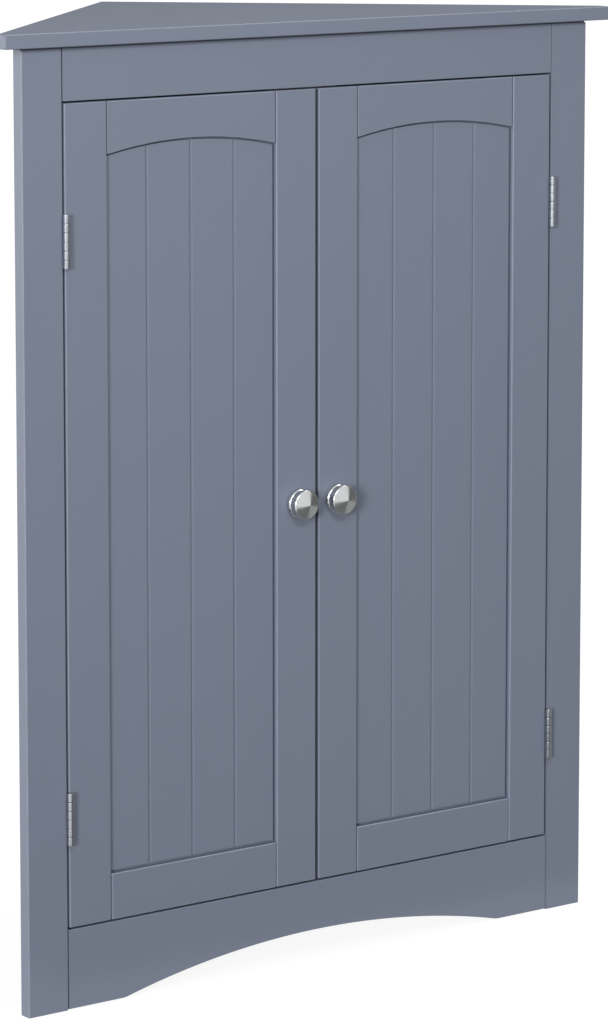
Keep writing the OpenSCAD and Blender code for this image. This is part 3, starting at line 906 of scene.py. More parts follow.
class Recipe:
    """A geometry tree with named inputs, among them a carrier and a material."""

    def __init__(self, name: str, **inputs: str) -> None:
        """Opens the tree.

        Args:
            name: Name of the tree.
            **inputs: Kind of each further input, by its name.
        """
        self.group = bpy.data.node_groups.new(name, "GeometryNodeTree")
        self.keys: dict[str, str] = {}
        for label, kind in {"Carrier": "Geometry", **inputs, "Material": "Material"}.items():
            self.keys[label] = self._socket(label, "INPUT", kind)
        self._socket("Result", "OUTPUT", "Geometry")
        self.graph = Graph(self.group)
        self.source = self.graph.node("NodeGroupInput")

    def _socket(self, label: str, way: str, kind: str) -> str:
        """Adds a socket to the tree's interface and gives its identifier."""
        return self.group.interface.new_socket(
            name=label, in_out=way, socket_type=f"NodeSocket{kind}").identifier

    def given(self, label: str) -> Wire:
        """A named input inside the tree."""
        return Wire(self.graph, self.source.outputs[label])

    def stored(self, name: str, kind: str) -> Wire:
        """What the points carry under a name."""
        return self.graph.wire("GeometryNodeInputNamedAttribute", {"Name": name}, "Attribute",
                               data_type=kind)

    def close(self, geometry: Wire) -> None:
        """Ends the tree in real geometry with its material.

        Args:
            geometry: What the tree has made.
        """
        real = self.graph.wire("GeometryNodeRealizeInstances", {"Geometry": geometry})
        dressed = self.graph.wire("GeometryNodeSetMaterial",
                                  {"Geometry": real, "Material": self.given("Material")})
        self.graph.node("NodeGroupOutput", {"Result": dressed})

    def grown(self, carrier: bpy.types.Mesh, values: Mapping[str, Value]) -> Solid:
        """Runs the tree on a carrier and keeps the result as a plain mesh.

        Args:
            carrier: The mesh that the tree starts from.
            values: What each named input is set to.

        Returns:
            The result as a form.
        """
        holder = linked("carrier", carrier)
        step = holder.modifiers.new("grow", "NODES")
        step.node_group = self.group
        for label, value in values.items():
            step[self.keys[label]] = value
        return Solid(baked(holder))

    def repeated(self, form: Solid, carrier: bpy.types.Mesh, values: Mapping[str, Value]) -> Solid:
        """Runs the tree with a form as its model.

        Args:
            form: The form that the tree repeats.
            carrier: The mesh that the tree starts from.
            values: What the other inputs are set to.

        Returns:
            All copies in one form.
        """
        model = linked("model", form.mesh)
        made = self.grown(carrier, {"Model": model, **values})
        bpy.data.objects.remove(model)
        return made


class FastenerRecipe(Recipe):
    """Sets one fastener on every point of a carrier, along its heading and turned at random."""

    def __init__(self) -> None:
        """Builds the tree."""
        super().__init__("set_fasteners", Model="Object", Spin="Float", Seed="Int")
        graph = self.graph
        model = graph.wire("GeometryNodeObjectInfo", {"Object": self.given("Model")}, "Geometry")
        along = graph.wire("FunctionNodeAlignRotationToVector",
                           {"Vector": self.stored("heading", "FLOAT_VECTOR")}, axis="Z")
        spin = graph.wire("FunctionNodeRandomValue",
                          {2: 0.0, 3: self.given("Spin"), "Seed": self.given("Seed")}, 1,
                          data_type="FLOAT")
        about = graph.wire("FunctionNodeAxisAngleToRotation", {"Axis": (0, 0, 1), "Angle": spin})
        turned = graph.wire("FunctionNodeRotateRotation", {"Rotation": along, "Rotate By": about},
                            rotation_space="LOCAL")
        self.close(graph.wire("GeometryNodeInstanceOnPoints", {
            "Points": self.given("Carrier"), "Instance": model, "Rotation": turned}))

    def set_on(self, places: Sequence[Placing], form: Solid, material: bpy.types.Material,
               seed: int, spin: float) -> Solid:
        """Sets a fastener at each place.

        Args:
            places: Point and heading of each fastener.
            form: The form of one, with its head at the origin and its shank along +Z.
            material: Its finish.
            seed: Seed of the random turn about its own axis.
            spin: Most that it is turned, in radians.

        Returns:
            All of them in one form.
        """
        carrier = bpy.data.meshes.new("places")
        carrier.from_pydata([tuple(place) for place, _ in places], [], [])
        heading = carrier.attributes.new("heading", "FLOAT_VECTOR", "POINT")
        heading.data.foreach_set("vector", [x for _, way in places for x in way])
        return self.repeated(form, carrier, {"Spin": spin, "Seed": seed, "Material": material})


class RowRecipe(Recipe):
    """Repeats one form at equal steps in a row."""

    def __init__(self) -> None:
        """Builds the tree."""
        super().__init__("row_of_knuckles", Model="Object", Count="Int", Start="Vector",
                         Step="Vector")
        graph = self.graph
        model = graph.wire("GeometryNodeObjectInfo", {"Object": self.given("Model")}, "Geometry")
        row = graph.wire("GeometryNodeMeshLine", {
            "Count": self.given("Count"), "Start Location": self.given("Start"),
            "Offset": self.given("Step")}, mode="OFFSET")
        self.close(graph.wire("GeometryNodeInstanceOnPoints", {"Points": row, "Instance": model}))

    def row(self, form: Solid, count: int, start: Point, step: Point,
            material: bpy.types.Material) -> Solid:
        """Repeats a form.

        Args:
            form: The form, drawn at the origin.
            count: How many there are.
            start: Place of the first.
            step: From one to the next.
            material: Its finish.

        Returns:
            The row in one form.
        """
        return self.repeated(form, bpy.data.meshes.new("nothing"), {
            "Count": count, "Start": start, "Step": step, "Material": material})


class BeadBoardRecipe(Recipe):
    """A sheet bent by rule and backed: grooves, a raised field and an arched upper edge."""

    SIZES = ("Width", "Foot", "Arc centre", "Arc radius", "Thickness", "Pitch", "Groove width",
             "Groove depth", "Wall run", "Grooves each side", "Border", "Border depth")
    ROWS = 6
    LAST = ROWS - 1
    FLOOR_SOFTNESS = 0.3
    MERGE = 0.001

    def __init__(self) -> None:
        """Builds the tree."""
        super().__init__("bead_board", **dict.fromkeys(self.SIZES, "Float"), Columns="Int")
        graph = self.graph
        grid = graph.wire("GeometryNodeMeshGrid", {
            "Size X": self.given("Width"), "Size Y": 1.0,
            "Vertices X": self.given("Columns"), "Vertices Y": self.ROWS})
        place = graph.node("ShaderNodeSeparateXYZ",
                           {"Vector": graph.wire("GeometryNodeInputPosition")})
        across, up = graph.wires(place, "X", "Y")
        row = (up + 0.5) * self.LAST
        sheet = graph.wire("GeometryNodeStoreNamedAttribute", {
            "Geometry": grid, "Name": "lowering", "Value": self._lowering(across, row)},
            data_type="FLOAT", domain="POINT")
        spot = graph.wire("ShaderNodeCombineXYZ", {
            "X": across, "Y": self.given("Thickness"), "Z": self._height(across, row)})
        back = graph.wire("GeometryNodeSetPosition", {"Geometry": sheet, "Position": spot})
        push = graph.wire("ShaderNodeCombineXYZ", {"Y": 0.0 - self.given("Thickness")})
        block = graph.node("GeometryNodeExtrudeMesh", {
            "Mesh": back, "Offset": push, "Offset Scale": 1.0, "Individual": False}, mode="FACES")
        mesh, top = graph.wires(block, "Mesh", "Top")
        sink = graph.wire("ShaderNodeCombineXYZ", {"Y": self.stored("lowering", "FLOAT")})
        face = graph.wire("GeometryNodeSetPosition",
                          {"Geometry": mesh, "Selection": top, "Offset": sink})
        rear = graph.wire("GeometryNodeFlipFaces", {"Mesh": back})
        join = graph.node("GeometryNodeJoinGeometry")
        for part in (rear, face):
            graph.tree.links.new(part.socket, join.inputs["Geometry"])
        joined = Wire(graph, join.outputs["Geometry"])
        self.close(graph.wire("GeometryNodeMergeByDistance",
                              {"Geometry": joined, "Distance": self.MERGE}))

    def _share(self, value: Wire) -> Wire:
        """A value held between 0 and 1."""
        return self.graph.maths("MINIMUM", self.graph.maths("MAXIMUM", value, 0.0), 1.0)

    def _height(self, across: Wire, row: Wire) -> Wire:
        """Height of a row: three rows follow the straight foot and three follow the arc.

        Args:
            across: Distance from the middle of the panel.
            row: Number of the row, counted from the foot.

        Returns:
            The height.
        """
        border, run, share = self.given("Border"), self.given("Wall run"), self._share
        rise = self.graph.maths("SQRT", self.given("Arc radius") ** 2.0 - across * across)
        foot, crown = self.given("Foot"), self.given("Arc centre") + rise
        from_foot = share(row) * border + share(row - 1) * run
        to_crown = share(self.LAST - row) * border + share(self.LAST - 1 - row) * run
        upper = share(row - 2)
        return (foot + from_foot) * (1 - upper) + (crown - to_crown) * upper

    def _lowering(self, across: Wire, row: Wire) -> Wire:
        """How far the face lies back: in the grooves, and round the raised field.

        Args:
            across: Distance from the middle of the panel.
            row: Number of the row, counted from the foot.

        Returns:
            The depth under the raised field's face.
        """
        maths, pitch, run = self.graph.maths, self.given("Pitch"), self.given("Wall run")
        off = abs(maths("WRAP", across, pitch / 2, 0.0 - pitch / 2))
        inside = maths("MAXIMUM", (self.given("Groove width") / 2 - off) / run, 0.0)
        depth = maths("SMOOTH_MIN", inside, 1.0, self.FLOOR_SOFTNESS) * self.given("Groove depth")
        groove = depth * (abs(across) < (self.given("Grooves each side") + 0.5) * pitch)
        border = self.given("Width") / 2 - self.given("Border") - abs(across)
        above = self._share(row - 1) * self._share(self.LAST - 1 - row)
        field = self._share(border / run) * above
        return maths("MAXIMUM", groove, self.given("Border depth") * (1 - field))


@dataclass
class Workshop:
    """Finishes and recipes that the assemblies share."""

    finish: Finishes
    fasteners: FastenerRecipe
    rows: RowRecipe
    bead_board: BeadBoardRecipe
    count: int = 0

    def fit(self, node: str, word: str, solid: Solid, body: Body, coat: Coat,
            crease: float = BOARD_CREASE) -> None:
        """Settles a form, hangs it on its body and lets it stand for its solid.

        Args:
            node: The solid that it stands for.
            word: What the piece's name has after the solid's.
            solid: Its form.
            body: The body that it moves with.
            coat: Its finish.
            crease: Angle in degrees above which its edges stay sharp.
        """
        piece = solid.settled(f"{node}_{word}", coat.material, crease)
        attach(piece, body.value)
        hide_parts(node)
        self.count += 1
        LOG.info("%s on %s: %d faces", piece.name, body.value, len(piece.data.polygons))

    def board(self, node: str, solid: Solid, body: Body = Body.CARCASS) -> None:
        """Fits a painted board."""
        self.fit(node, "board", solid, body, self.finish.paint)

    def fasten(self, node: str, word: str, places: Sequence[Placing], form: Solid, body: Body,
               coat: Coat, seed: int, spin: float = math.tau,
               crease: float = METAL_CREASE) -> None:
        """Sets one fastener at each place and fits them all as a piece.

        Args:
            node: The solid that they stand for.
            word: What the piece's name has after the solid's.
            places: Point and heading of each.
            form: The form of one.
            body: The body that they move with.
            coat: Their finish.
            seed: Seed of their random turns.
            spin: Most that one is turned, in radians.
            crease: Angle in degrees above which edges stay sharp.
        """
        made = self.fasteners.set_on(places, form, coat.material, seed, spin)
        self.fit(node, word, made, body, coat, crease)

    def dress(self, node: str, coat: Coat) -> None:
        """Gives a solid that keeps its own shape its finish.

        Args:
            node: The solid.
            coat: Its finish.
        """
        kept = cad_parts[node]
        if not kept.material_slots:
            kept.data.materials.append(coat.material)
        for slot in kept.material_slots:
            slot.material = coat.material
        self.count += 1
        LOG.info("%s keeps its solid: %s", node, coat.material.name)


def headed(foot: Sequence[Flat], length: float) -> list[Flat]:
    """A foot's outline and the same outline turned over for the other end."""
    return [*foot, *((radius, length - height) for radius, height in reversed(foot))]


def eased(radius: float, ease: float) -> list[Flat]:
    """The rounded corner between a flat foot and a turned side."""
    return [(radius - ease, 0), (radius - ease * EASE_MIDDLE, ease * EASE_MIDDLE), (radius, ease)]


def dome(radius: float, height: float, steps: int) -> list[Flat]:
    """A dome's outline, from its crown at height 0 to its rim."""
    turns = [math.pi / 2 * k / steps for k in range(steps + 1)]
    return [(radius * math.sin(a), height * (1 - math.cos(a))) for a in turns]


def cross_recess(head: float, crown: float = 0.0) -> list[Solid]:
    """The two crossed wedges that a driver's tip leaves in a screw's head.

    Args:
        head: Diameter of the head.
        crown: Height of the head's crown.

    Returns:
        The forms to cut out.
    """
    width, floor = head * RECESS_WIDTH, crown + head * RECESS_DEPTH
    half, foot, thin, start = width / 2, width / 5, width / 9, crown - OVER / 2
    wedge = [(-half, start), (half, start), (half, crown), (foot, floor), (-foot, floor),
             (-half, crown)]
    return [Solid.prism(wedge, -thin, thin).set_at(Matrix.Rotation(turn, 4, "Z"))
            for turn in (0.0, math.pi / 2)]


def flat_screw(diameter: float, head: float, depth: float, length: float) -> Solid:
    """A countersunk screw with a cross recess, its head at the origin and its point along +Z.

    Args:
        diameter: Diameter of the shank.
        head: Diameter of the head.
        depth: Height of the head's cone.
        length: Length over all.

    Returns:
        The screw.
    """
    shank, rim = diameter / 2, head / 2
    edge = [(rim - inward, down) for inward, down in HEAD_EDGE]
    profile = [(0, 0), *edge, (shank, depth + HEAD_LAND), (shank, length - SCREW_POINT),
               (0, length)]
    return Solid.lathe(profile, SCREW_FACETS).cut(*cross_recess(head))


def pan_screw(diameter: float, head: float, height: float, length: float) -> Solid:
    """A round-headed screw with a cross recess: the head's seat at the origin, its point along +Z.

    Args:
        diameter: Diameter of the shank.
        head: Diameter of the head.
        height: Height of the head.
        length: Length under the head.

    Returns:
        The screw.
    """
    shank = diameter / 2
    crown = [(radius, down - height) for radius, down in dome(head / 2, height, CROWN_STEPS)]
    profile = [*crown, (shank, 0), (shank, length - SCREW_POINT), (0, length)]
    return Solid.lathe(profile, SCREW_FACETS).cut(*cross_recess(head, -height))


@dataclass
class TopBoard:
    """Triangular top with short square returns at its two front corners."""

    shop: Workshop
    front_return: float = 13.2
    rounding: float = 0.9
    # How much paler the top's rounded edges are drawn, as rubbing and painted highlight.
    wear: float = 0.2

    def build(self) -> None:
        """Builds the board from the reach of its solid."""
        low, high = Span.of("top_board")
        half, heel = high.x, low.y + self.front_return
        outline = [(-half, low.y), (half, low.y), (half, heel), (0, high.y), (-half, heel)]
        board = Solid.prism(outline, low.z, high.z, Axis.Z).rounded(self.rounding, wear=self.wear)
        self.shop.fit("top_board", "slab", board, Body.CARCASS, self.shop.finish.paint)


@dataclass
class FaceFrame:
    """Two stiles, a top rail and an arched apron, flush with the doors."""

    shop: Workshop
    rounding: float = 0.4
    stile_rounding: float = 0.9
    # How much paler the stiles' rounded edges are drawn, as rubbing and painted highlight.
    stile_wear: float = 2.0
    hairline: float = 0.65
    rebate: float = 1.8
    rebate_depth: float = 2.6
    # How far past the rebate the faces get painted shade.
    rebate_seam: float = 0.1
    arch_rise: float = 25.0
    arch_radius: float = 840.0
    arch_steps: int = 96
    end_radius: float = 25.0
    end_steps: int = 10

    def build(self) -> None:
        """Builds the four boards."""
        for side in Side:
            node = f"{side.word}_frame_stile"
            low, high = Span.of(node, side)
            board = Solid.block(low, high).rounded(self.stile_rounding, wear=self.stile_wear)
            # Painted shade along the stile's inner joint.
            stile = self.rebated(board.seamed(low.x), low, high)
            self.shop.board(node, stile.on(side))
        low, high = Span.of("top_frame_rail")
        line = Vector((self.hairline, 0, 0))
        board = Solid.block(low + line, high - line).rounded(self.rounding)
        # Painted shade at both joints of the rail.
        self.shop.board("top_frame_rail", self.rebated(board.seamed(low.x, high.x), low, high))
        self.shop.board("apron", self.apron())

    def rebated(self, board: Solid, low: Vector, high: Vector) -> Solid:
        """Cuts the narrow rebate that leaves a dark line under the top board, and marks painted
        shade on the faces near the board.

        Args:
            board: The board.
            low: Its lowest corner.
            high: Its highest corner.

        Returns:
            The board with its rebate.
        """
        board.cut(Solid.block((low.x - OVER, low.y - OVER, high.z - self.rebate),
                              (high.x + OVER, low.y + self.rebate_depth, high.z + OVER)))
        return board.seamed(high.z, reach=self.rebate + self.rebate_seam, level=True)

    def apron(self) -> Solid:
        """The apron: an arc between two small round ends that run out to the floor edge.

        Returns:
            The board.
        """
        low, high = Span.of("apron")
        start, end = low.x + self.hairline, high.x - self.hairline
        arch_z = low.z + self.arch_rise - self.arch_radius
        end_z = low.z + self.end_radius
        end_x = math.sqrt((self.arch_radius + self.end_radius) ** 2 - (end_z - arch_z) ** 2)
        slope = math.degrees(math.atan2(end_z - arch_z, end_x))
        right_end = arc((end_x, end_z), self.end_radius, slope - 180, -90, self.end_steps)
        left_end = [(-x, z) for x, z in reversed(right_end)]
        span = arc((0, arch_z), self.arch_radius, 180 - slope, slope, self.arch_steps)
        outline = [(start, low.z), *left_end, *span[1:-1], *right_end, (end, low.z),
                   (end, high.z), (start, high.z)]
        # Painted shade at both joints of the apron.
        return Solid.prism(outline, low.y, high.y).rounded(self.rounding).seamed(start, end)


@dataclass
class Carcass:
    """Two side panels that meet at the back corner, and the bottom panel between them."""

    shop: Workshop
    thickness: float = 12.0
    rounding: float = 0.6
    pins_in: Flat = (75.0, 75.0)
    pin_pitch: float = 32.0
    pin_heights: Flat = (205.0, 435.0)
    pin_bore: float = 5.1
    pin_bore_depth: float = 8.0
    screw_head: float = 8.2
    screw_bore: float = 4.1
    screw_depth: float = 38.0
    screw_in: float = 90.0
    top_cams_in: Flat = (58.0, 70.0)
    bottom_cams_in: Flat = (100.0, 120.0)
    cam_bore: float = 12.2
    cam_set: float = 24.0
    cam_depth: float = 9.1

    def __post_init__(self) -> None:
        """Works out the plan of the right-hand side panel."""
        stile = Span.of("right_frame_stile")
        self.start = Vector((stile.high.x, stile.high.y, 0))
        self.length = stile.high.x * ROOT2
        self.height = stile.high.z
        self.floor = Span.of("apron").high.z
        self.along = Vector((-1, 1, 0)) / ROOT2
        self.inward = Vector((-1, -1, 0)) / ROOT2

    def spot(self, along: float, inward: float, up: float) -> Vector:
        """A point of the right-hand side panel, from its front, its outside and the floor."""
        return self.start + self.along * along + self.inward * inward + Vector((0, 0, up))

    def rows(self, front: float, back: float) -> Flat:
        """Distances from the front of two rows that stand in from a side panel's inner ends."""
        return (self.thickness + front, self.length - self.thickness - back)

    def pin_places(self) -> list[Placing]:
        """Point and heading of each shelf pin, where it comes out of its side panel."""
        return [(side.turned(self.spot(row, self.thickness, self.floor + up)),
                 side.turned(self.inward))
                for side in Side for row in self.rows(*self.pins_in) for up in self.pin_heights]

    def top_cam_places(self) -> list[Placing]:
        """Point and heading of each cam lock under the top board."""
        return [(side.turned(self.spot(row, self.thickness, self.height - self.cam_set)),
                 side.turned(-self.inward))
                for side in Side for row in self.rows(*self.top_cams_in)]

    def bottom_cam_places(self) -> list[Placing]:
        """Point and heading of each cam lock under the bottom panel."""
        under = Span.of("bottom_panel").low.z
        return [(side.turned(self.spot(row, self.thickness + self.cam_set, under)), (0, 0, 1))
                for side in reversed(Side) for row in self.rows(*self.bottom_cams_in)]

    def corner_screw_places(self) -> list[Placing]:
        """Point and heading of each screw at the back corner."""
        middle = self.length - self.thickness / 2
        return [(self.spot(middle, 0, up), self.inward)
                for up in (self.screw_in, self.height / 2, self.height - self.screw_in)]

    def side_panel(self, side: Side) -> Solid:
        """One side panel, mitred behind its stile, with its rows of pin holes.

        Args:
            side: The half that it stands in.

        Returns:
            The panel.
        """
        end = self.length - (self.thickness if side is Side.LEFT else 0.0)
        corners = [(0, 0), (end, 0), (end, self.thickness), (self.thickness, self.thickness)]
        outline = [tuple(self.spot(along, inward, 0))[:2] for along, inward in corners]
        panel = Solid.prism(outline, 0, self.height, Axis.Z).rounded(self.rounding)
        bores = [(row, self.floor + middle + step * self.pin_pitch, self.pin_bore,
                  self.pin_bore_depth)
                 for row in self.rows(*self.pins_in) for middle in self.pin_heights
                 for step in (-1, 0, 1)]
        bores += [(row, self.height - self.cam_set, self.cam_bore, self.cam_depth)
                  for row in self.rows(*self.top_cams_in)]
        tools = [Solid.drill(self.spot(row, self.thickness, up), -self.inward, wide, deep)
                 for row, up, wide, deep in bores]
        if side is Side.RIGHT:
            tools += [Solid.drill(*place, self.screw_bore, self.screw_depth, self.screw_head)
                      for place in self.corner_screw_places()]
        return panel.cut(*tools).on(side)

    def build(self) -> None:
        """Builds the panels."""
        for side in Side:
            self.shop.board(f"{side.word}_side_panel", self.side_panel(side))
        low, high = Span.of("bottom_panel")
        outline = [(low.x, low.y), (high.x, low.y), (0, high.y)]
        panel = Solid.prism(outline, low.z, high.z, Axis.Z).rounded(self.rounding)
        panel.cut(*(Solid.drill(*place, self.cam_bore, self.cam_depth)
                    for place in self.bottom_cam_places()))
        self.shop.board("bottom_panel", panel)


@dataclass
class Shelves:
    """Two loose shelves on four pins each."""

    shop: Workshop
    carcass: Carcass
    nose: float = 16.0
    rounding: float = 0.9
    pin_d: float = 5.0
    collar_d: float = 7.0
    collar_t: float = 1.2
    pin_out: float = 9.0
    pin_in: float = 7.5
    ease: float = 0.35

    def shelf(self, node: str) -> Solid:
        """A shelf with its sharp corners cut square.

        Args:
            node: Name of its solid.

        Returns:
            The shelf.
        """
        low, high = Span.of(node)
        nose, heel = self.nose, low.y + self.nose
        outline = [(low.x, low.y), (high.x, low.y), (high.x, heel), (nose, high.y),
                   (-nose, high.y), (low.x, heel)]
        return Solid.prism(outline, low.z, high.z, Axis.Z).rounded(self.rounding)

    def pin(self) -> Solid:
        """A shelf pin along +Z out of its hole, with its collar at the origin.

        Returns:
            The pin.
        """
        pin, collar, ease, top = self.pin_d / 2, self.collar_d / 2, self.ease, self.pin_out
        soft = ease * SHOULDER
        profile = [(0, -self.pin_in), (pin - ease, -self.pin_in), (pin, ease - self.pin_in),
                   (pin, 0), (collar, 0), (collar, self.collar_t - ease),
                   (collar - ease, self.collar_t), (pin, self.collar_t), (pin, top - ease * 2),
                   (pin - soft, top - soft), (pin - ease * 2, top), (0, top)]
        return Solid.lathe(profile, PIN_FACETS)

    def build(self) -> None:
        """Builds the shelves and sets the pins under them."""
        for node in ("lower_shelf", "upper_shelf"):
            self.shop.board(node, self.shelf(node))
        self.shop.fasten("shelf_pins", "set", self.carcass.pin_places(), self.pin(), Body.CARCASS,
                         self.shop.finish.hinge, seed=3, crease=BOARD_CREASE)


@dataclass
class Hinges:
    """Four butt hinges: leaves in the side gaps, interleaved knuckles and domed pins."""

    shop: Workshop
    knuckles: int = 6
    barrel_d: float = 6.0
    pin_d: float = 2.5
    pin_dome: float = 0.7
    dome_steps: int = 6
    bore_d: float = 2.66
    bore_lip: float = 0.1
    ease: float = 0.28
    leaf_t: float = 0.8
    leaf_gap: float = 0.4
    leaf_reach: float = 10.0
    leaf_rounding: float = 0.15
    air: float = 0.3
    column_facets: int = 48
    screw_y: float = 5.0
    screw_d: float = 2.5
    screw_head: float = 4.4
    screw_l: float = 14.0
    screw_air: float = 0.2
    head_air: float = 0.1
    bore_depth: float = 4.0

    def __post_init__(self) -> None:
        """Reads where the pins stand and how far apart the knuckles are."""
        pins = Span.of("hinge_pins")
        self.x, self.y = pins.high.x - self.pin_d / 2, pins.middle.y
        levels = [vert.co.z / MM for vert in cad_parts["hinge_pins"].data.vertices]
        self.length = max(z for z in levels if z < pins.middle.z) - pins.low.z
        self.heights = (pins.low.z, pins.high.z - self.length)
        self.pitch = self.length / self.knuckles

    def screw_places(self, side: Side, out: int) -> list[Placing]:
        """Places and headings of the screws that go into the frame (1) or the door (-1)."""
        x, heading = self.x + out * self.leaf_gap / 2, side.turned((out, 0, 0))
        return [(side.turned((x, self.screw_y, z + self.length * sixth / 6)), heading)
                for z in self.heights for sixth in (1, 3, 5)]

    def screw(self) -> Solid:
        """One countersunk screw of a leaf."""
        return flat_screw(self.screw_d, self.screw_head, self.leaf_t, self.screw_l)

    def knuckle(self) -> Solid:
        """One knuckle: a short tube with rounded rims, its foot at the origin.

        Returns:
            The tube.
        """
        bore, lip = self.bore_d / 2, self.bore_lip
        foot = [(bore, lip), (bore + lip, 0), *eased(self.barrel_d / 2, self.ease)]
        return Solid.lathe(headed(foot, self.pitch - self.air), loop=True)

    def column(self, diameter: float, foot: float, height: float) -> Solid:
        """A round column about the pins' axis, as a form to cut out."""
        ring = headed([(0, 0), (diameter / 2, 0)], height)
        return Solid.lathe(ring, self.column_facets).set_at(
            Matrix.Translation((self.x, self.y, foot)))

    def leaf(self, z: float, out: int) -> Solid:
        """One leaf with every second knuckle of its barrel.

        Args:
            z: Height of the hinge's foot.
            out: 1 for the frame's leaf, -1 for the door's.

        Returns:
            The leaf.
        """
        first, half, barrel = (1 - out) // 2, self.air / 2, self.pitch + self.air
        inner = self.x + out * self.leaf_gap / 2
        start, end = sorted((inner, inner + out * self.leaf_t))
        plate = Solid.block((start, self.y, z + half),
                            (end, self.leaf_reach, z + self.length - half))
        plate.rounded(self.leaf_rounding, segments=2)
        plate.fused(self.shop.rows.row(
            self.knuckle(), self.knuckles // 2, (self.x, self.y, z + first * self.pitch + half),
            (0, 0, 2 * self.pitch), self.shop.finish.hinge.material))
        cuts = [self.column(self.barrel_d + 2 * self.air, z + k * self.pitch - half, barrel)
                for k in range(1 - first, self.knuckles, 2)]
        cuts.append(self.column(self.bore_d, z - OVER, self.length + 2 * OVER))
        cuts += [Solid.drill(place, heading, self.screw_d + self.screw_air, self.bore_depth,
                             self.screw_head + self.head_air)
                 for place, heading in self.screw_places(Side.RIGHT, out)
                 if z < place.z < z + self.length]
        return plate.cut(*cuts)

    def leaves(self, out: int) -> Solid:
        """Both leaves of one side that are screwed to the frame (1) or to the door (-1)."""
        lower, upper = (self.leaf(z, out) for z in self.heights)
        return lower.with_loose(upper)

    def pin(self) -> Solid:
        """A hinge pin with domed ends, its foot at the origin."""
        foot = dome(self.pin_d / 2, self.pin_dome, self.dome_steps)
        return Solid.lathe(headed(foot, self.length), PIN_FACETS)

    def build(self) -> None:
        """Builds the leaves, the pins and the screws."""
        shop, nickel = self.shop, self.shop.finish.hinge
        for side in Side:
            for part, out, body in (("frame", 1, Body.CARCASS), ("door", -1, side.door)):
                shop.fit(f"{side.word}_{part}_leaves", "rolled", self.leaves(out).on(side), body,
                         nickel, METAL_CREASE)
            shop.fasten(f"{side.word}_leaf_screws", "crossed", self.screw_places(side, -1),
                        self.screw(), side.door, nickel, seed=11 + side.value)
        places = [place for side in Side for place in self.screw_places(side, 1)]
        shop.fasten("frame_leaf_screws", "crossed", places, self.screw(), Body.CARCASS, nickel,
                    seed=20)
        feet = [(side.turned((self.x, self.y, z)), (0, 0, 1)) for side in Side
                for z in self.heights]
        shop.fasten("hinge_pins", "domed", feet, self.pin(), Body.CARCASS, nickel, seed=5)


@dataclass
class Knob:
    """Turned nickel knob: neck, round ring, flared waist, rim and a shallow cone."""

    shop: Workshop
    side: Side
    diameter: float = 25.5
    neck_d: float = 13.0
    ring_y: float = 0.7
    ring_h: float = 4.6
    ring_start: float = -84.0
    ring_steps: int = 28
    waist_in: float = 1.05
    flare_out: Point = (0.12, 0.3, 0.5)
    flare_foot: float = 0.35
    flare_under: Flat = (0.6, 0.2)
    rim_y: float = 11.0
    rim_start: float = -36.0
    rim_steps: int = 12
    cone_y: float = 13.0
    cone_steps: int = 14
    shoulder: float = 1.4
    shoulder_drop: float = 1.26
    reach: float = 17.4
    tip_d: float = 2.4
    tip_radius: float = 2.88
    tip_start: float = 3.0
    tip_steps: int = 5
    facets: int = 128
    crease: float = 50.0

    def profile(self) -> list[Flat]:
        """The turned outline.

        Returns:
            Radius and height of each corner, from the middle of the foot to the tip.
        """
        outer, neck, minor = self.diameter / 2, self.neck_d / 2, self.ring_h / 2
        middle = (outer - minor, self.ring_y + minor)
        waist = outer - self.waist_in
        leave = math.degrees(math.acos((waist - middle[0]) / minor))
        foot = [(0, 0), (neck, 0), (neck, self.ring_y), (middle[0], self.ring_y)]
        ring = arc(middle, minor, self.ring_start, leave, self.ring_steps)
        heights = (ring[-1][1] + self.flare_foot, *(self.rim_y - z for z in self.flare_under))
        flare = [(waist + out, height) for out, height in zip(self.flare_out, heights)]
        fall = math.degrees(math.atan2(self.reach - self.cone_y, outer - self.tip_d / 2))
        rim = arc((outer - self.shoulder, self.cone_y - self.shoulder_drop), self.shoulder,
                  self.rim_start, 90 - fall, self.rim_steps)
        tip = arc((0, self.reach - self.tip_radius), self.tip_radius,
                  90 - fall + self.tip_start, 90, self.tip_steps)
        tip[-1] = (0.0, self.reach)
        cone = [tuple(start + (end - start) * k / self.cone_steps
                      for start, end in zip(rim[-1], tip[0])) for k in range(1, self.cone_steps)]
        return [*foot, *ring, *flare, *rim, *cone, *tip]

    def build(self) -> None:
        """Builds the knob on its door."""
        node = f"{self.side.word}_knob"
        middle = Span.of(node, self.side).middle
        form = Solid.lathe(self.profile(), self.facets)
        form.set_at(aimed((middle.x, 0, middle.z), (0, -1, 0)))
        self.shop.fit(node, "turned", form.on(self.side), self.side.door, self.shop.finish.knob,
                      self.crease)
        self.shop.dress(f"{node}_screw", self.shop.finish.zinc)


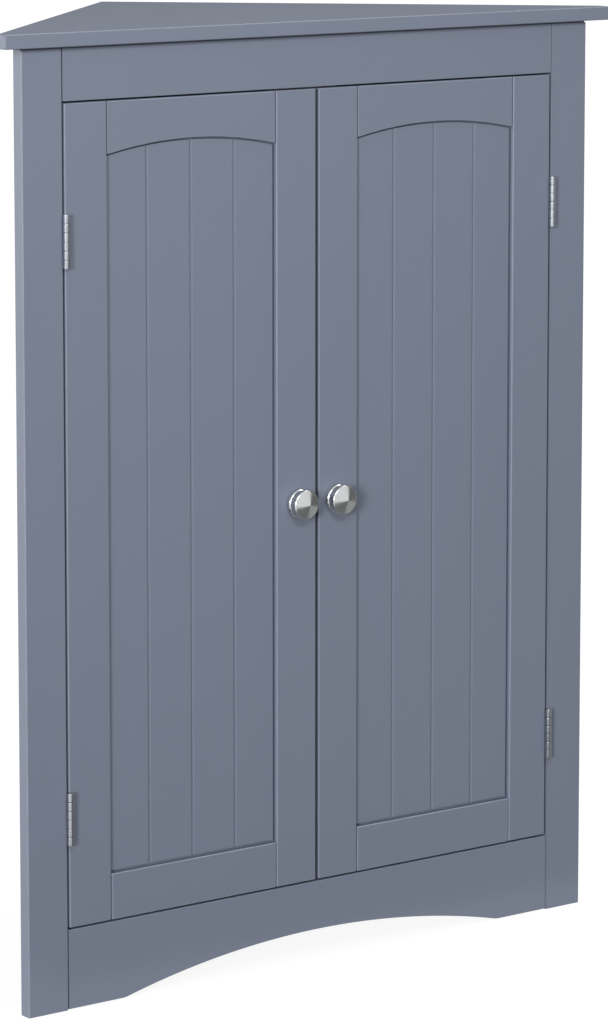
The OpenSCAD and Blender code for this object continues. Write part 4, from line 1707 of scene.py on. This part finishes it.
@dataclass
class Door:
    """Frame-and-panel door with an arched top rail and a grooved panel."""

    shop: Workshop
    side: Side
    rounding: float = 1.1
    # How much paler the door's rounded edges are drawn, as rubbing and painted highlight.
    wear: float = 2.0
    # Painted shade along the rails' joints, in the gap between the doors and above the bottom rail.
    seam: float = 0.6
    gap_seam: float = 1.35
    sill_seam: float = 1.9
    edge_reach: float = 0.2
    hairline: float = 0.65
    stile_w: float = 42.0
    bottom_w: float = 40.0
    top_w: float = 44.6
    arch_rise: float = 9.7
    arch_steps: int = 64
    groove_d: float = 6.0
    groove_y: float = 3.5
    groove_w: float = 4.2
    groove_half: float = 26.0
    groove_steps: int = 96
    tongue_l: float = 5.5
    bottom_tongue: Flat = (0.2, 1.0)
    top_tongue: Flat = (0.4, 0.2)
    panel_y: float = 3.6
    panel_t: float = 4.0
    panel_columns: int = 1100
    panel_crease: float = 60.0
    bead_pitch: float = 44.7
    bead_w: float = 2.6
    bead_d: float = 1.4
    bead_run: float = 0.35
    bead_reach: float = 1.0
    field_gap: float = 1.4
    field_drop: float = 1.9

    def __post_init__(self) -> None:
        """Reads the door's outline and works out the arc under its top rail."""
        self.low = Span.of(self._node("lock_stile"), self.side).low
        self.high = Span.of(self._node("hinge_stile"), self.side).high
        self.rail_x = self.low.x + self.stile_w
        self.rail_end = self.high.x - self.stile_w
        self.middle = (self.rail_x + self.rail_end) / 2
        half = (self.rail_end - self.rail_x) / 2
        self.radius = (half ** 2 + self.arch_rise ** 2) / (2 * self.arch_rise)
        self.spring = self.high.z - self.top_w
        self.arc_z = self.spring + self.arch_rise - self.radius

    def _node(self, name: str) -> str:
        """Name of one of this door's solids."""
        return f"{self.side.word}_{name}"

    def _channel(self, low_x: float, high_x: float, low_z: float, high_z: float) -> Solid:
        """The groove that holds the panel, as a form to cut out."""
        return Solid.block((low_x, self.groove_y, low_z),
                           (high_x, self.groove_y + self.groove_w, high_z))

    def _tongue(self, low_z: float, high_z: float) -> Solid:
        """The tongue of a rail that reaches into both stiles."""
        return Solid.block((self.rail_x - self.tongue_l, self.panel_y, low_z),
                           (self.rail_end + self.tongue_l, self.panel_y + self.panel_t, high_z))

    def _under(self, radius: float, half: float, steps: int) -> list[Flat]:
        """An arc about the middle of the top rail's arch, from left to right."""
        return arc((self.middle, self.arc_z), radius, 90 + half, 90 - half, steps)

    def stile(self, start: float, end: float, groove: Flat) -> Solid:
        """One upright board, with painted shade on its edge at the gap between the doors.

        Args:
            start: Where it starts across the door.
            end: Where it ends.
            groove: Where the panel's groove starts and ends.

        Returns:
            The board.
        """
        board = Solid.block((start, self.low.y, self.low.z), (end, self.high.y, self.high.z))
        board.rounded(self.rounding).seamed(self.low.x, share=self.gap_seam, reach=self.edge_reach)
        return board.cut(self._channel(*groove, self.low.z - OVER, self.high.z + OVER))

    def bottom_rail(self) -> Solid:
        """The straight rail at the foot of the door.

        Returns:
            The board.
        """
        top, past = self.low.z + self.bottom_w, self.groove_d + OVER
        board = Solid.block((self.rail_x + self.hairline, self.low.y, self.low.z),
                            (self.rail_end - self.hairline, self.high.y, top))
        board.rounded(self.rounding, wear=self.wear)
        # Painted shade at the rail's joints and along its top.
        board.seamed(self.rail_x, self.rail_end, share=self.seam)
        board.seamed(top, share=self.sill_seam, reach=self.edge_reach, level=True)
        board.fused(self._tongue(self.low.z + self.bottom_tongue[0], top - self.bottom_tongue[1]))
        return board.cut(self._channel(self.rail_x - past, self.rail_end + past,
                                       top - self.groove_d, top + OVER))

    def arched_rail(self) -> Solid:
        """The rail over the panel, whose lower edge is an arc.

        Returns:
            The board.
        """
        start, end = self.rail_x + self.hairline, self.rail_end - self.hairline
        half = math.degrees(math.asin((end - self.middle) / self.radius))
        outline = [*self._under(self.radius, half, self.arch_steps), (end, self.high.z),
                   (start, self.high.z)]
        board = Solid.prism(outline, self.low.y, self.high.y)
        # Painted shade at the rail's joints.
        board.rounded(self.rounding, wear=self.wear).seamed(start, end, share=self.seam)
        board.fused(self._tongue(self.spring + self.top_tongue[0],
                                 self.high.z - self.top_tongue[1]))
        deep, shallow = (self._under(radius, self.groove_half, self.groove_steps) for radius in
                         (self.radius + self.groove_d, self.radius - 2 * self.arch_rise))
        return board.cut(Solid.prism([*deep, *reversed(shallow)], self.groove_y,
                                     self.groove_y + self.groove_w))

    def panel(self) -> Solid:
        """The grooved panel, from the recipe.

        Returns:
            The panel.
        """
        made = self.shop.bead_board.grown(bpy.data.meshes.new("nothing"), {
            "Width": self.rail_end - self.rail_x + 2 * self.tongue_l,
            "Foot": self.low.z + self.bottom_w - self.tongue_l,
            "Arc centre": self.arc_z,
            "Arc radius": self.radius + self.tongue_l,
            "Thickness": self.panel_t,
            "Pitch": self.bead_pitch,
            "Groove width": self.bead_w,
            "Groove depth": self.bead_d,
            "Wall run": self.bead_run,
            "Grooves each side": self.bead_reach,
            "Border": self.tongue_l + self.field_gap,
            "Border depth": self.field_drop,
            "Columns": self.panel_columns,
            "Material": self.shop.finish.paint.material})
        return made.set_at(Matrix.Translation((self.middle, self.panel_y, 0)))

    def build(self) -> None:
        """Builds the door's five boards and its knob."""
        inner, outer, deep = self.rail_x, self.rail_end, self.groove_d
        boards = {
            "hinge_stile": self.stile(outer, self.high.x, (outer - OVER, outer + deep)),
            "lock_stile": self.stile(self.low.x, inner, (inner - deep, inner + OVER)),
            "arched_rail": self.arched_rail(),
            "bottom_rail": self.bottom_rail(),
        }
        for name, form in boards.items():
            self.shop.board(self._node(name), form.on(self.side), self.side.door)
        self.shop.fit(self._node("panel"), "beaded", self.panel().on(self.side), self.side.door,
                      self.shop.finish.paint, self.panel_crease)
        Knob(self.shop, self.side).build()


@dataclass
class Catch:
    """Cleat, double magnetic catch and the strike plates on the doors."""

    shop: Workshop
    cleat_rounding: float = 0.8
    rounding: float = 0.9
    pocket_air: float = 0.1
    slot_in: Flat = (0.6, 1.4)
    slot_end: float = 3.0
    slot_d: float = 0.8
    screw_d: float = 3.0
    screw_head: float = 5.6
    screw_head_h: float = 1.6
    screw_air: float = 0.2
    strike_rounding: float = 0.25
    strike_corner: float = 2.0
    corner_steps: int = 6
    strike_sharp: float = 40.0
    strike_bore: float = 3.0
    strike_screw_l: float = 10.0
    dish_in: float = 3.0
    dish_over: float = 6.0
    dish_d: float = 0.2
    dish_rounding: float = 0.15

    def screw(self, length: float) -> Solid:
        """A round-headed screw of a given length."""
        return pan_screw(self.screw_d, self.screw_head, self.screw_head_h, length)

    def housing(self) -> Solid:
        """The moulded housing with its two magnet pockets and a slot at each end.

        Returns:
            The housing.
        """
        low, high = Span.of("catch_housing")
        magnets, air = Span.of("catch_magnets"), self.pocket_air
        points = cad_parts["catch_magnets"].data.vertices
        inner = min(abs(vert.co.x) / MM for vert in points) - air
        near, far = (high.x - inset for inset in self.slot_in)
        form = Solid.block(low, high).rounded(self.rounding)
        pockets = [Solid.block((inner, low.y - OVER, magnets.low.z - air),
                               magnets.high + Vector((air, air, air))).on(side) for side in Side]
        slots = [Solid.block((far, low.y + self.slot_end, low.z - OVER),
                             (near, high.y - self.slot_end, low.z + self.slot_d)).on(side)
                 for side in Side]
        return form.cut(*pockets, *slots)

    def strike(self, side: Side) -> None:
        """The pressed strike plate of one door with its screw.

        Args:
            side: The door.
        """
        shop, rim, inset = self.shop, self.strike_corner, self.dish_in
        node, screw_node = f"{side.word}_strike_plate", f"{side.word}_strike_screw"
        low, high = Span.of(node, side)
        screw = Span.of(screw_node, side).middle
        left, right, foot, top = low.x + rim, high.x - rim, low.z + rim, high.z - rim
        outline = []
        for k, middle in enumerate(((right, top), (left, top), (left, foot), (right, foot))):
            outline += arc(middle, rim, 90 * k, 90 * (k + 1), self.corner_steps)
        plate = Solid.prism(outline, low.y, high.y)
        plate.rounded(self.strike_rounding, segments=2, above=self.strike_sharp)
        dish = Solid.block((low.x + inset, high.y - self.dish_d, screw.z + self.dish_over),
                           (high.x - inset, high.y + OVER, high.z - inset))
        place = (screw.x, high.y, screw.z)
        bore = Solid.drill(place, (0, -1, 0), self.screw_d + self.screw_air, self.strike_bore)
        plate.cut(bore, dish.rounded(self.dish_rounding, segments=2))
        shop.fit(node, "pressed", plate.on(side), side.door, shop.finish.zinc)
        shop.fasten(screw_node, "crossed", [(side.turned(place), (0, -1, 0))],
                    self.screw(self.strike_screw_l), side.door, shop.finish.zinc,
                    seed=40 + side.value)

    def build(self) -> None:
        """Builds the catch on the carcass and a strike plate on each door."""
        shop, finish = self.shop, self.shop.finish
        cleat = Solid.block(*Span.of("catch_cleat")).rounded(self.cleat_rounding)
        shop.fit("catch_cleat", "block", cleat, Body.CARCASS, finish.cleat)
        shop.fit("catch_housing", "moulded", self.housing(), Body.CARCASS, finish.plastic)
        shop.dress("catch_magnets", finish.magnet)
        seat, screws = Span.of("catch_housing").low.z, Span.of("catch_screws")
        spot = (screws.high.x - self.screw_head / 2, screws.middle.y, seat)
        places = [(side.turned(spot), (0, 0, 1)) for side in Side]
        shop.fasten("catch_screws", "crossed", places, self.screw(screws.high.z - seat),
                    Body.CARCASS, finish.zinc, seed=31)
        for side in Side:
            self.strike(side)


@dataclass
class Fixings:
    """Cam locks, corner screws and the fixings that stay hidden in the boards."""

    shop: Workshop
    carcass: Carcass
    cam_d: float = 12.0
    cam_h: float = 9.0
    cam_ease: float = 0.5
    cam_facets: int = 48
    cam_spin: float = 0.9
    slot: Point = (4.0, 0.7, 2.0)
    cross: Point = (0.7, 2.6, 1.6)
    mouth: Point = (1.2, 2.5, 3.4)
    mouth_top: float = 8.4
    screw_l: float = 38.0
    screw_d: float = 4.0
    screw_head: float = 8.0

    def cam(self) -> Solid:
        """A cam lock with its slotted face at the origin and its drum along +Z.

        Returns:
            The cam lock.
        """
        radius, top = self.cam_d / 2, self.cam_h
        profile = [(0, 0), *eased(radius, self.cam_ease), (radius, top - self.cam_ease),
                   (radius - self.cam_ease, top), (0, top)]
        cuts = [Solid.block((-wide, -deep, -OVER), (wide, deep, floor))
                for wide, deep, floor in (self.slot, self.cross)]
        start, half, foot = self.mouth
        cuts.append(Solid.block((start, -half, foot), (radius + OVER, half, self.mouth_top)))
        return Solid.lathe(profile, self.cam_facets).cut(*cuts)

    def build(self) -> None:
        """Sets the cams and the corner screws and dresses what stays hidden."""
        shop, zinc, panel = self.shop, self.shop.finish.zinc, self.carcass
        shop.fasten("cam_locks", "slotted", panel.top_cam_places() + panel.bottom_cam_places(),
                    self.cam(), Body.CARCASS, zinc, seed=51, spin=self.cam_spin)
        cone = (self.screw_head - self.screw_d) / 2
        screw = flat_screw(self.screw_d, self.screw_head, cone, self.screw_l)
        shop.fasten("corner_screws", "crossed", panel.corner_screw_places(), screw, Body.CARCASS,
                    zinc, seed=61)
        shop.dress("cam_bolts", zinc)
        shop.dress("frame_dowels", shop.finish.dowel)


class Sun(NamedTuple):
    """A distant lamp: its place in degrees, 0 in front and positive to the right, and its width."""

    name: str
    strength: float
    azimuth: float
    elevation: float
    softness: float
    tint: Point = (1.0, 1.0, 1.0)


class Card(NamedTuple):
    """A glowing grey sheet that only polished metal and gloss show: a painted reflection, not a
    lamp.
    """

    name: str
    tone: float
    corners: Sequence[Point]

    @classmethod
    def upright(cls, name: str, tone: float, start: Flat, end: Flat, low: float,
                high: float) -> "Card":
        """A card that stands between two points of the floor plan."""
        return cls(name, tone, [(*start, low), (*end, low), (*end, high), (*start, high)])

    @classmethod
    def lying(cls, name: str, tone: float, *plan: Flat) -> "Card":
        """A card that lies just over the floor."""
        return cls(name, tone, [(x, y, CARD_LIFT) for x, y in plan])


@dataclass
class Studio:
    """White floor and surroundings, plain soft lamps and the camera of the photograph.

    The camera's place is in millimetres from the face. Lamps and cards stand in metres.
    """

    camera_place: Point = (-2196.8, -2890.4, 1048.5)
    camera_yaw: float = 37.055
    camera_pitch: float = 7.453
    focal_pixels: float = 4274.5
    photo_long_side: int = 1024
    sensor: float = 36.0
    clip: Flat = (0.05, 200.0)
    shift_up: float = -0.2
    surround: float = 0.30
    floor_half: float = 60.0
    floor_colour: Colour = (0.20, 0.20, 0.20, 1.0)
    floor_glow: float = 0.91
    front_power: float = 10.6
    front_place: Point = (-0.7, -1.6, 1.45)
    front_target: Point = (0.0, 0.0, 0.75)
    front_size: Flat = (1.2, 0.3)
    suns: Sequence[Sun] = (
        Sun("key_sun", 1.69, -55.0, 9.0, 15.0),
        Sun("edge_sun", 0.8, -142.0, 6.0, 16.0),
        Sun("top_sun", 1.25, 92.0, 58.0, 20.0, (1.0, 0.96, 0.88)),
        Sun("rear_sun", 0.6, 100.0, 8.0, 16.0),
    )
    # Glowing grey sheets that only glossy rays see: painted reflections in the metal and gloss.
    cards: Sequence[Card] = (
        Card.upright("right_card", 0.16, (1.5, -1.3), (1.5, -0.25), 0.0, 1.7),
        Card.upright("low_card", 0.05, (0.3, -2.3), (1.5, -1.5), 0.0, 0.5),
        Card.lying("floor_card", 0.20, (-0.25, -1.7), (0.35, -1.7), (0.35, -0.19), (-0.25, -0.19)),
        Card.lying("near_card", 0.12, (-0.6, -0.55), (-0.25, -0.55), (-0.33, -0.17), (-0.6, 0.15)),
        Card.lying("side_card", 0.42, (0.35, -1.5), (1.5, -1.5), (1.5, 0.6), (0.35, 0.6)),
        Card.upright("back_card", 0.10, (-0.5, 1.7), (2.0, 0.5), 0.5, 2.4),
    )

    def set_camera(self) -> None:
        """Stands the camera where the photograph was taken from."""
        data = bpy.data.cameras.new("photo_camera")
        data.sensor_width = self.sensor
        data.lens = self.focal_pixels * self.sensor / self.photo_long_side
        data.shift_y = self.shift_up
        data.clip_start, data.clip_end = self.clip
        camera = linked("photo_camera", data)
        x, y, z = self.camera_place
        camera.location = (x * MM, y * MM + FACE_Y, z * MM)
        camera.rotation_euler = (math.radians(90 - self.camera_pitch), 0,
                                 -math.radians(self.camera_yaw))
        bpy.context.scene.camera = camera

    @staticmethod
    def seen(graph: Graph) -> Wire:
        """Tells the rays that show the surroundings directly, in metal or through glass.

        Args:
            graph: The tree that asks.

        Returns:
            1 for such a ray and 0 for others.
        """
        path = graph.node("ShaderNodeLightPath")
        rays = graph.wires(path, "Is Camera Ray", "Is Glossy Ray", "Is Transmission Ray")
        return graph.maths("MINIMUM", rays[0] + rays[1] + rays[2], 1.0)

    def set_surroundings(self) -> None:
        """White surroundings that light the cabinet at a plain level."""
        world = bpy.data.worlds.new("studio")
        graph = Graph.shading(world)
        strength = self.surround + (1.0 - self.surround) * self.seen(graph)
        light = graph.wire("ShaderNodeBackground",
                           {"Color": (1.0, 1.0, 1.0, 1.0), "Strength": strength})
        graph.node("ShaderNodeOutputWorld", {"Surface": light})
        bpy.context.scene.world = world

    @staticmethod
    def sheet(name: str, corners: Sequence[Point]) -> tuple[bpy.types.Object, Graph]:
        """Stages a flat sheet with a bare material.

        Args:
            name: Name of the sheet and of its material.
            corners: Its four corners in order, in metres.

        Returns:
            The sheet and its material's tree.
        """
        mesh = bpy.data.meshes.new(name)
        mesh.from_pydata(list(corners), [], [(0, 1, 2, 3)])
        made, material = linked(name, mesh), bpy.data.materials.new(name)
        mesh.materials.append(material)
        made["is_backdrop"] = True
        return made, Graph.shading(material)

    def set_floor(self) -> None:
        """A pale floor that shows white and keeps the cabinet's shadow."""
        half = self.floor_half
        _, graph = self.sheet("floor", [(-half, -half, 0), (half, -half, 0), (half, half, 0),
                                        (-half, half, 0)])
        matt = graph.wire("ShaderNodeBsdfDiffuse", {"Color": self.floor_colour})
        glow = graph.wire("ShaderNodeEmission", {"Strength": self.floor_glow * self.seen(graph)})
        both = graph.wire("ShaderNodeAddShader", {0: matt, 1: glow})
        graph.node("ShaderNodeOutputMaterial", {"Surface": both})

    def add_lamp(self, name: str, kind: str, power: float, back: Vector) -> bpy.types.Object:
        """Hangs a lamp.

        Args:
            name: Name of the lamp.
            kind: Its kind.
            power: Its strength.
            back: The way that its back points.

        Returns:
            The lamp.
        """
        data = bpy.data.lights.new(name, kind)
        data.energy = power
        lamp = linked(name, data)
        lamp.rotation_euler = back.to_track_quat("Z", "Y").to_euler()
        LOG.info("lamp %s at %.2f", name, power)
        return lamp

    def add_sun(self, sun: Sun) -> None:
        """Hangs a distant lamp.

        Args:
            sun: Its settings.
        """
        turn, rise = math.radians(sun.azimuth), math.radians(sun.elevation)
        back = Vector((math.sin(turn) * math.cos(rise), -math.cos(turn) * math.cos(rise),
                       math.sin(rise)))
        lamp = self.add_lamp(sun.name, "SUN", sun.strength, back)
        lamp.data.color = sun.tint
        lamp.data.angle = math.radians(sun.softness)

    def add_panel(self) -> None:
        """Hangs the soft panel in front of the doors."""
        back = Vector(self.front_place) - Vector(self.front_target)
        lamp = self.add_lamp("front_panel", "AREA", self.front_power, back)
        lamp.data.shape = "RECTANGLE"
        lamp.data.size, lamp.data.size_y = self.front_size
        lamp.location = self.front_place

    def add_card(self, card: Card) -> None:
        """Stands a glowing sheet that only glossy rays see, as a painted reflection in metal and
        gloss.

        Args:
            card: Its settings.
        """
        sheet, graph = self.sheet(card.name, card.corners)
        # A grey glow that only reflections show: painted reflection.
        grey = graph.wire("ShaderNodeEmission", {"Strength": card.tone})
        graph.node("ShaderNodeOutputMaterial", {"Surface": grey})
        for ray in ("camera", "diffuse", "transmission", "shadow", "volume_scatter"):
            setattr(sheet, f"visible_{ray}", False)

    def build(self) -> None:
        """Sets up the studio."""
        self.set_camera()
        self.set_surroundings()
        self.set_floor()
        for sun in self.suns:
            self.add_sun(sun)
        self.add_panel()
        for card in self.cards:
            self.add_card(card)
        bpy.context.scene.view_settings.view_transform = "Standard"


def corners(pair: tuple[Vector, Vector]) -> list[list[float]]:
    """A box's two corners as plain lists."""
    return [list(pair[0]), list(pair[1])]


def main() -> None:
    """Builds the cabinet assembly by assembly and works out the size of both models."""
    logging.basicConfig(level=logging.INFO, format="%(name)s: %(message)s")
    cad_box = corners(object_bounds())
    shop = Workshop(Finishes(), FastenerRecipe(), RowRecipe(), BeadBoardRecipe())
    Studio().build()
    TopBoard(shop).build()
    FaceFrame(shop).build()
    carcass = Carcass(shop)
    carcass.build()
    Shelves(shop, carcass).build()
    for side in Side:
        Door(shop, side).build()
    Hinges(shop).build()
    Catch(shop).build()
    Fixings(shop, carcass).build()
    LOG.info("%d pieces dressed", shop.count)
    {"cad": cad_box, "visual": corners(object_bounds())}


if __name__ == "__main__":
    main()
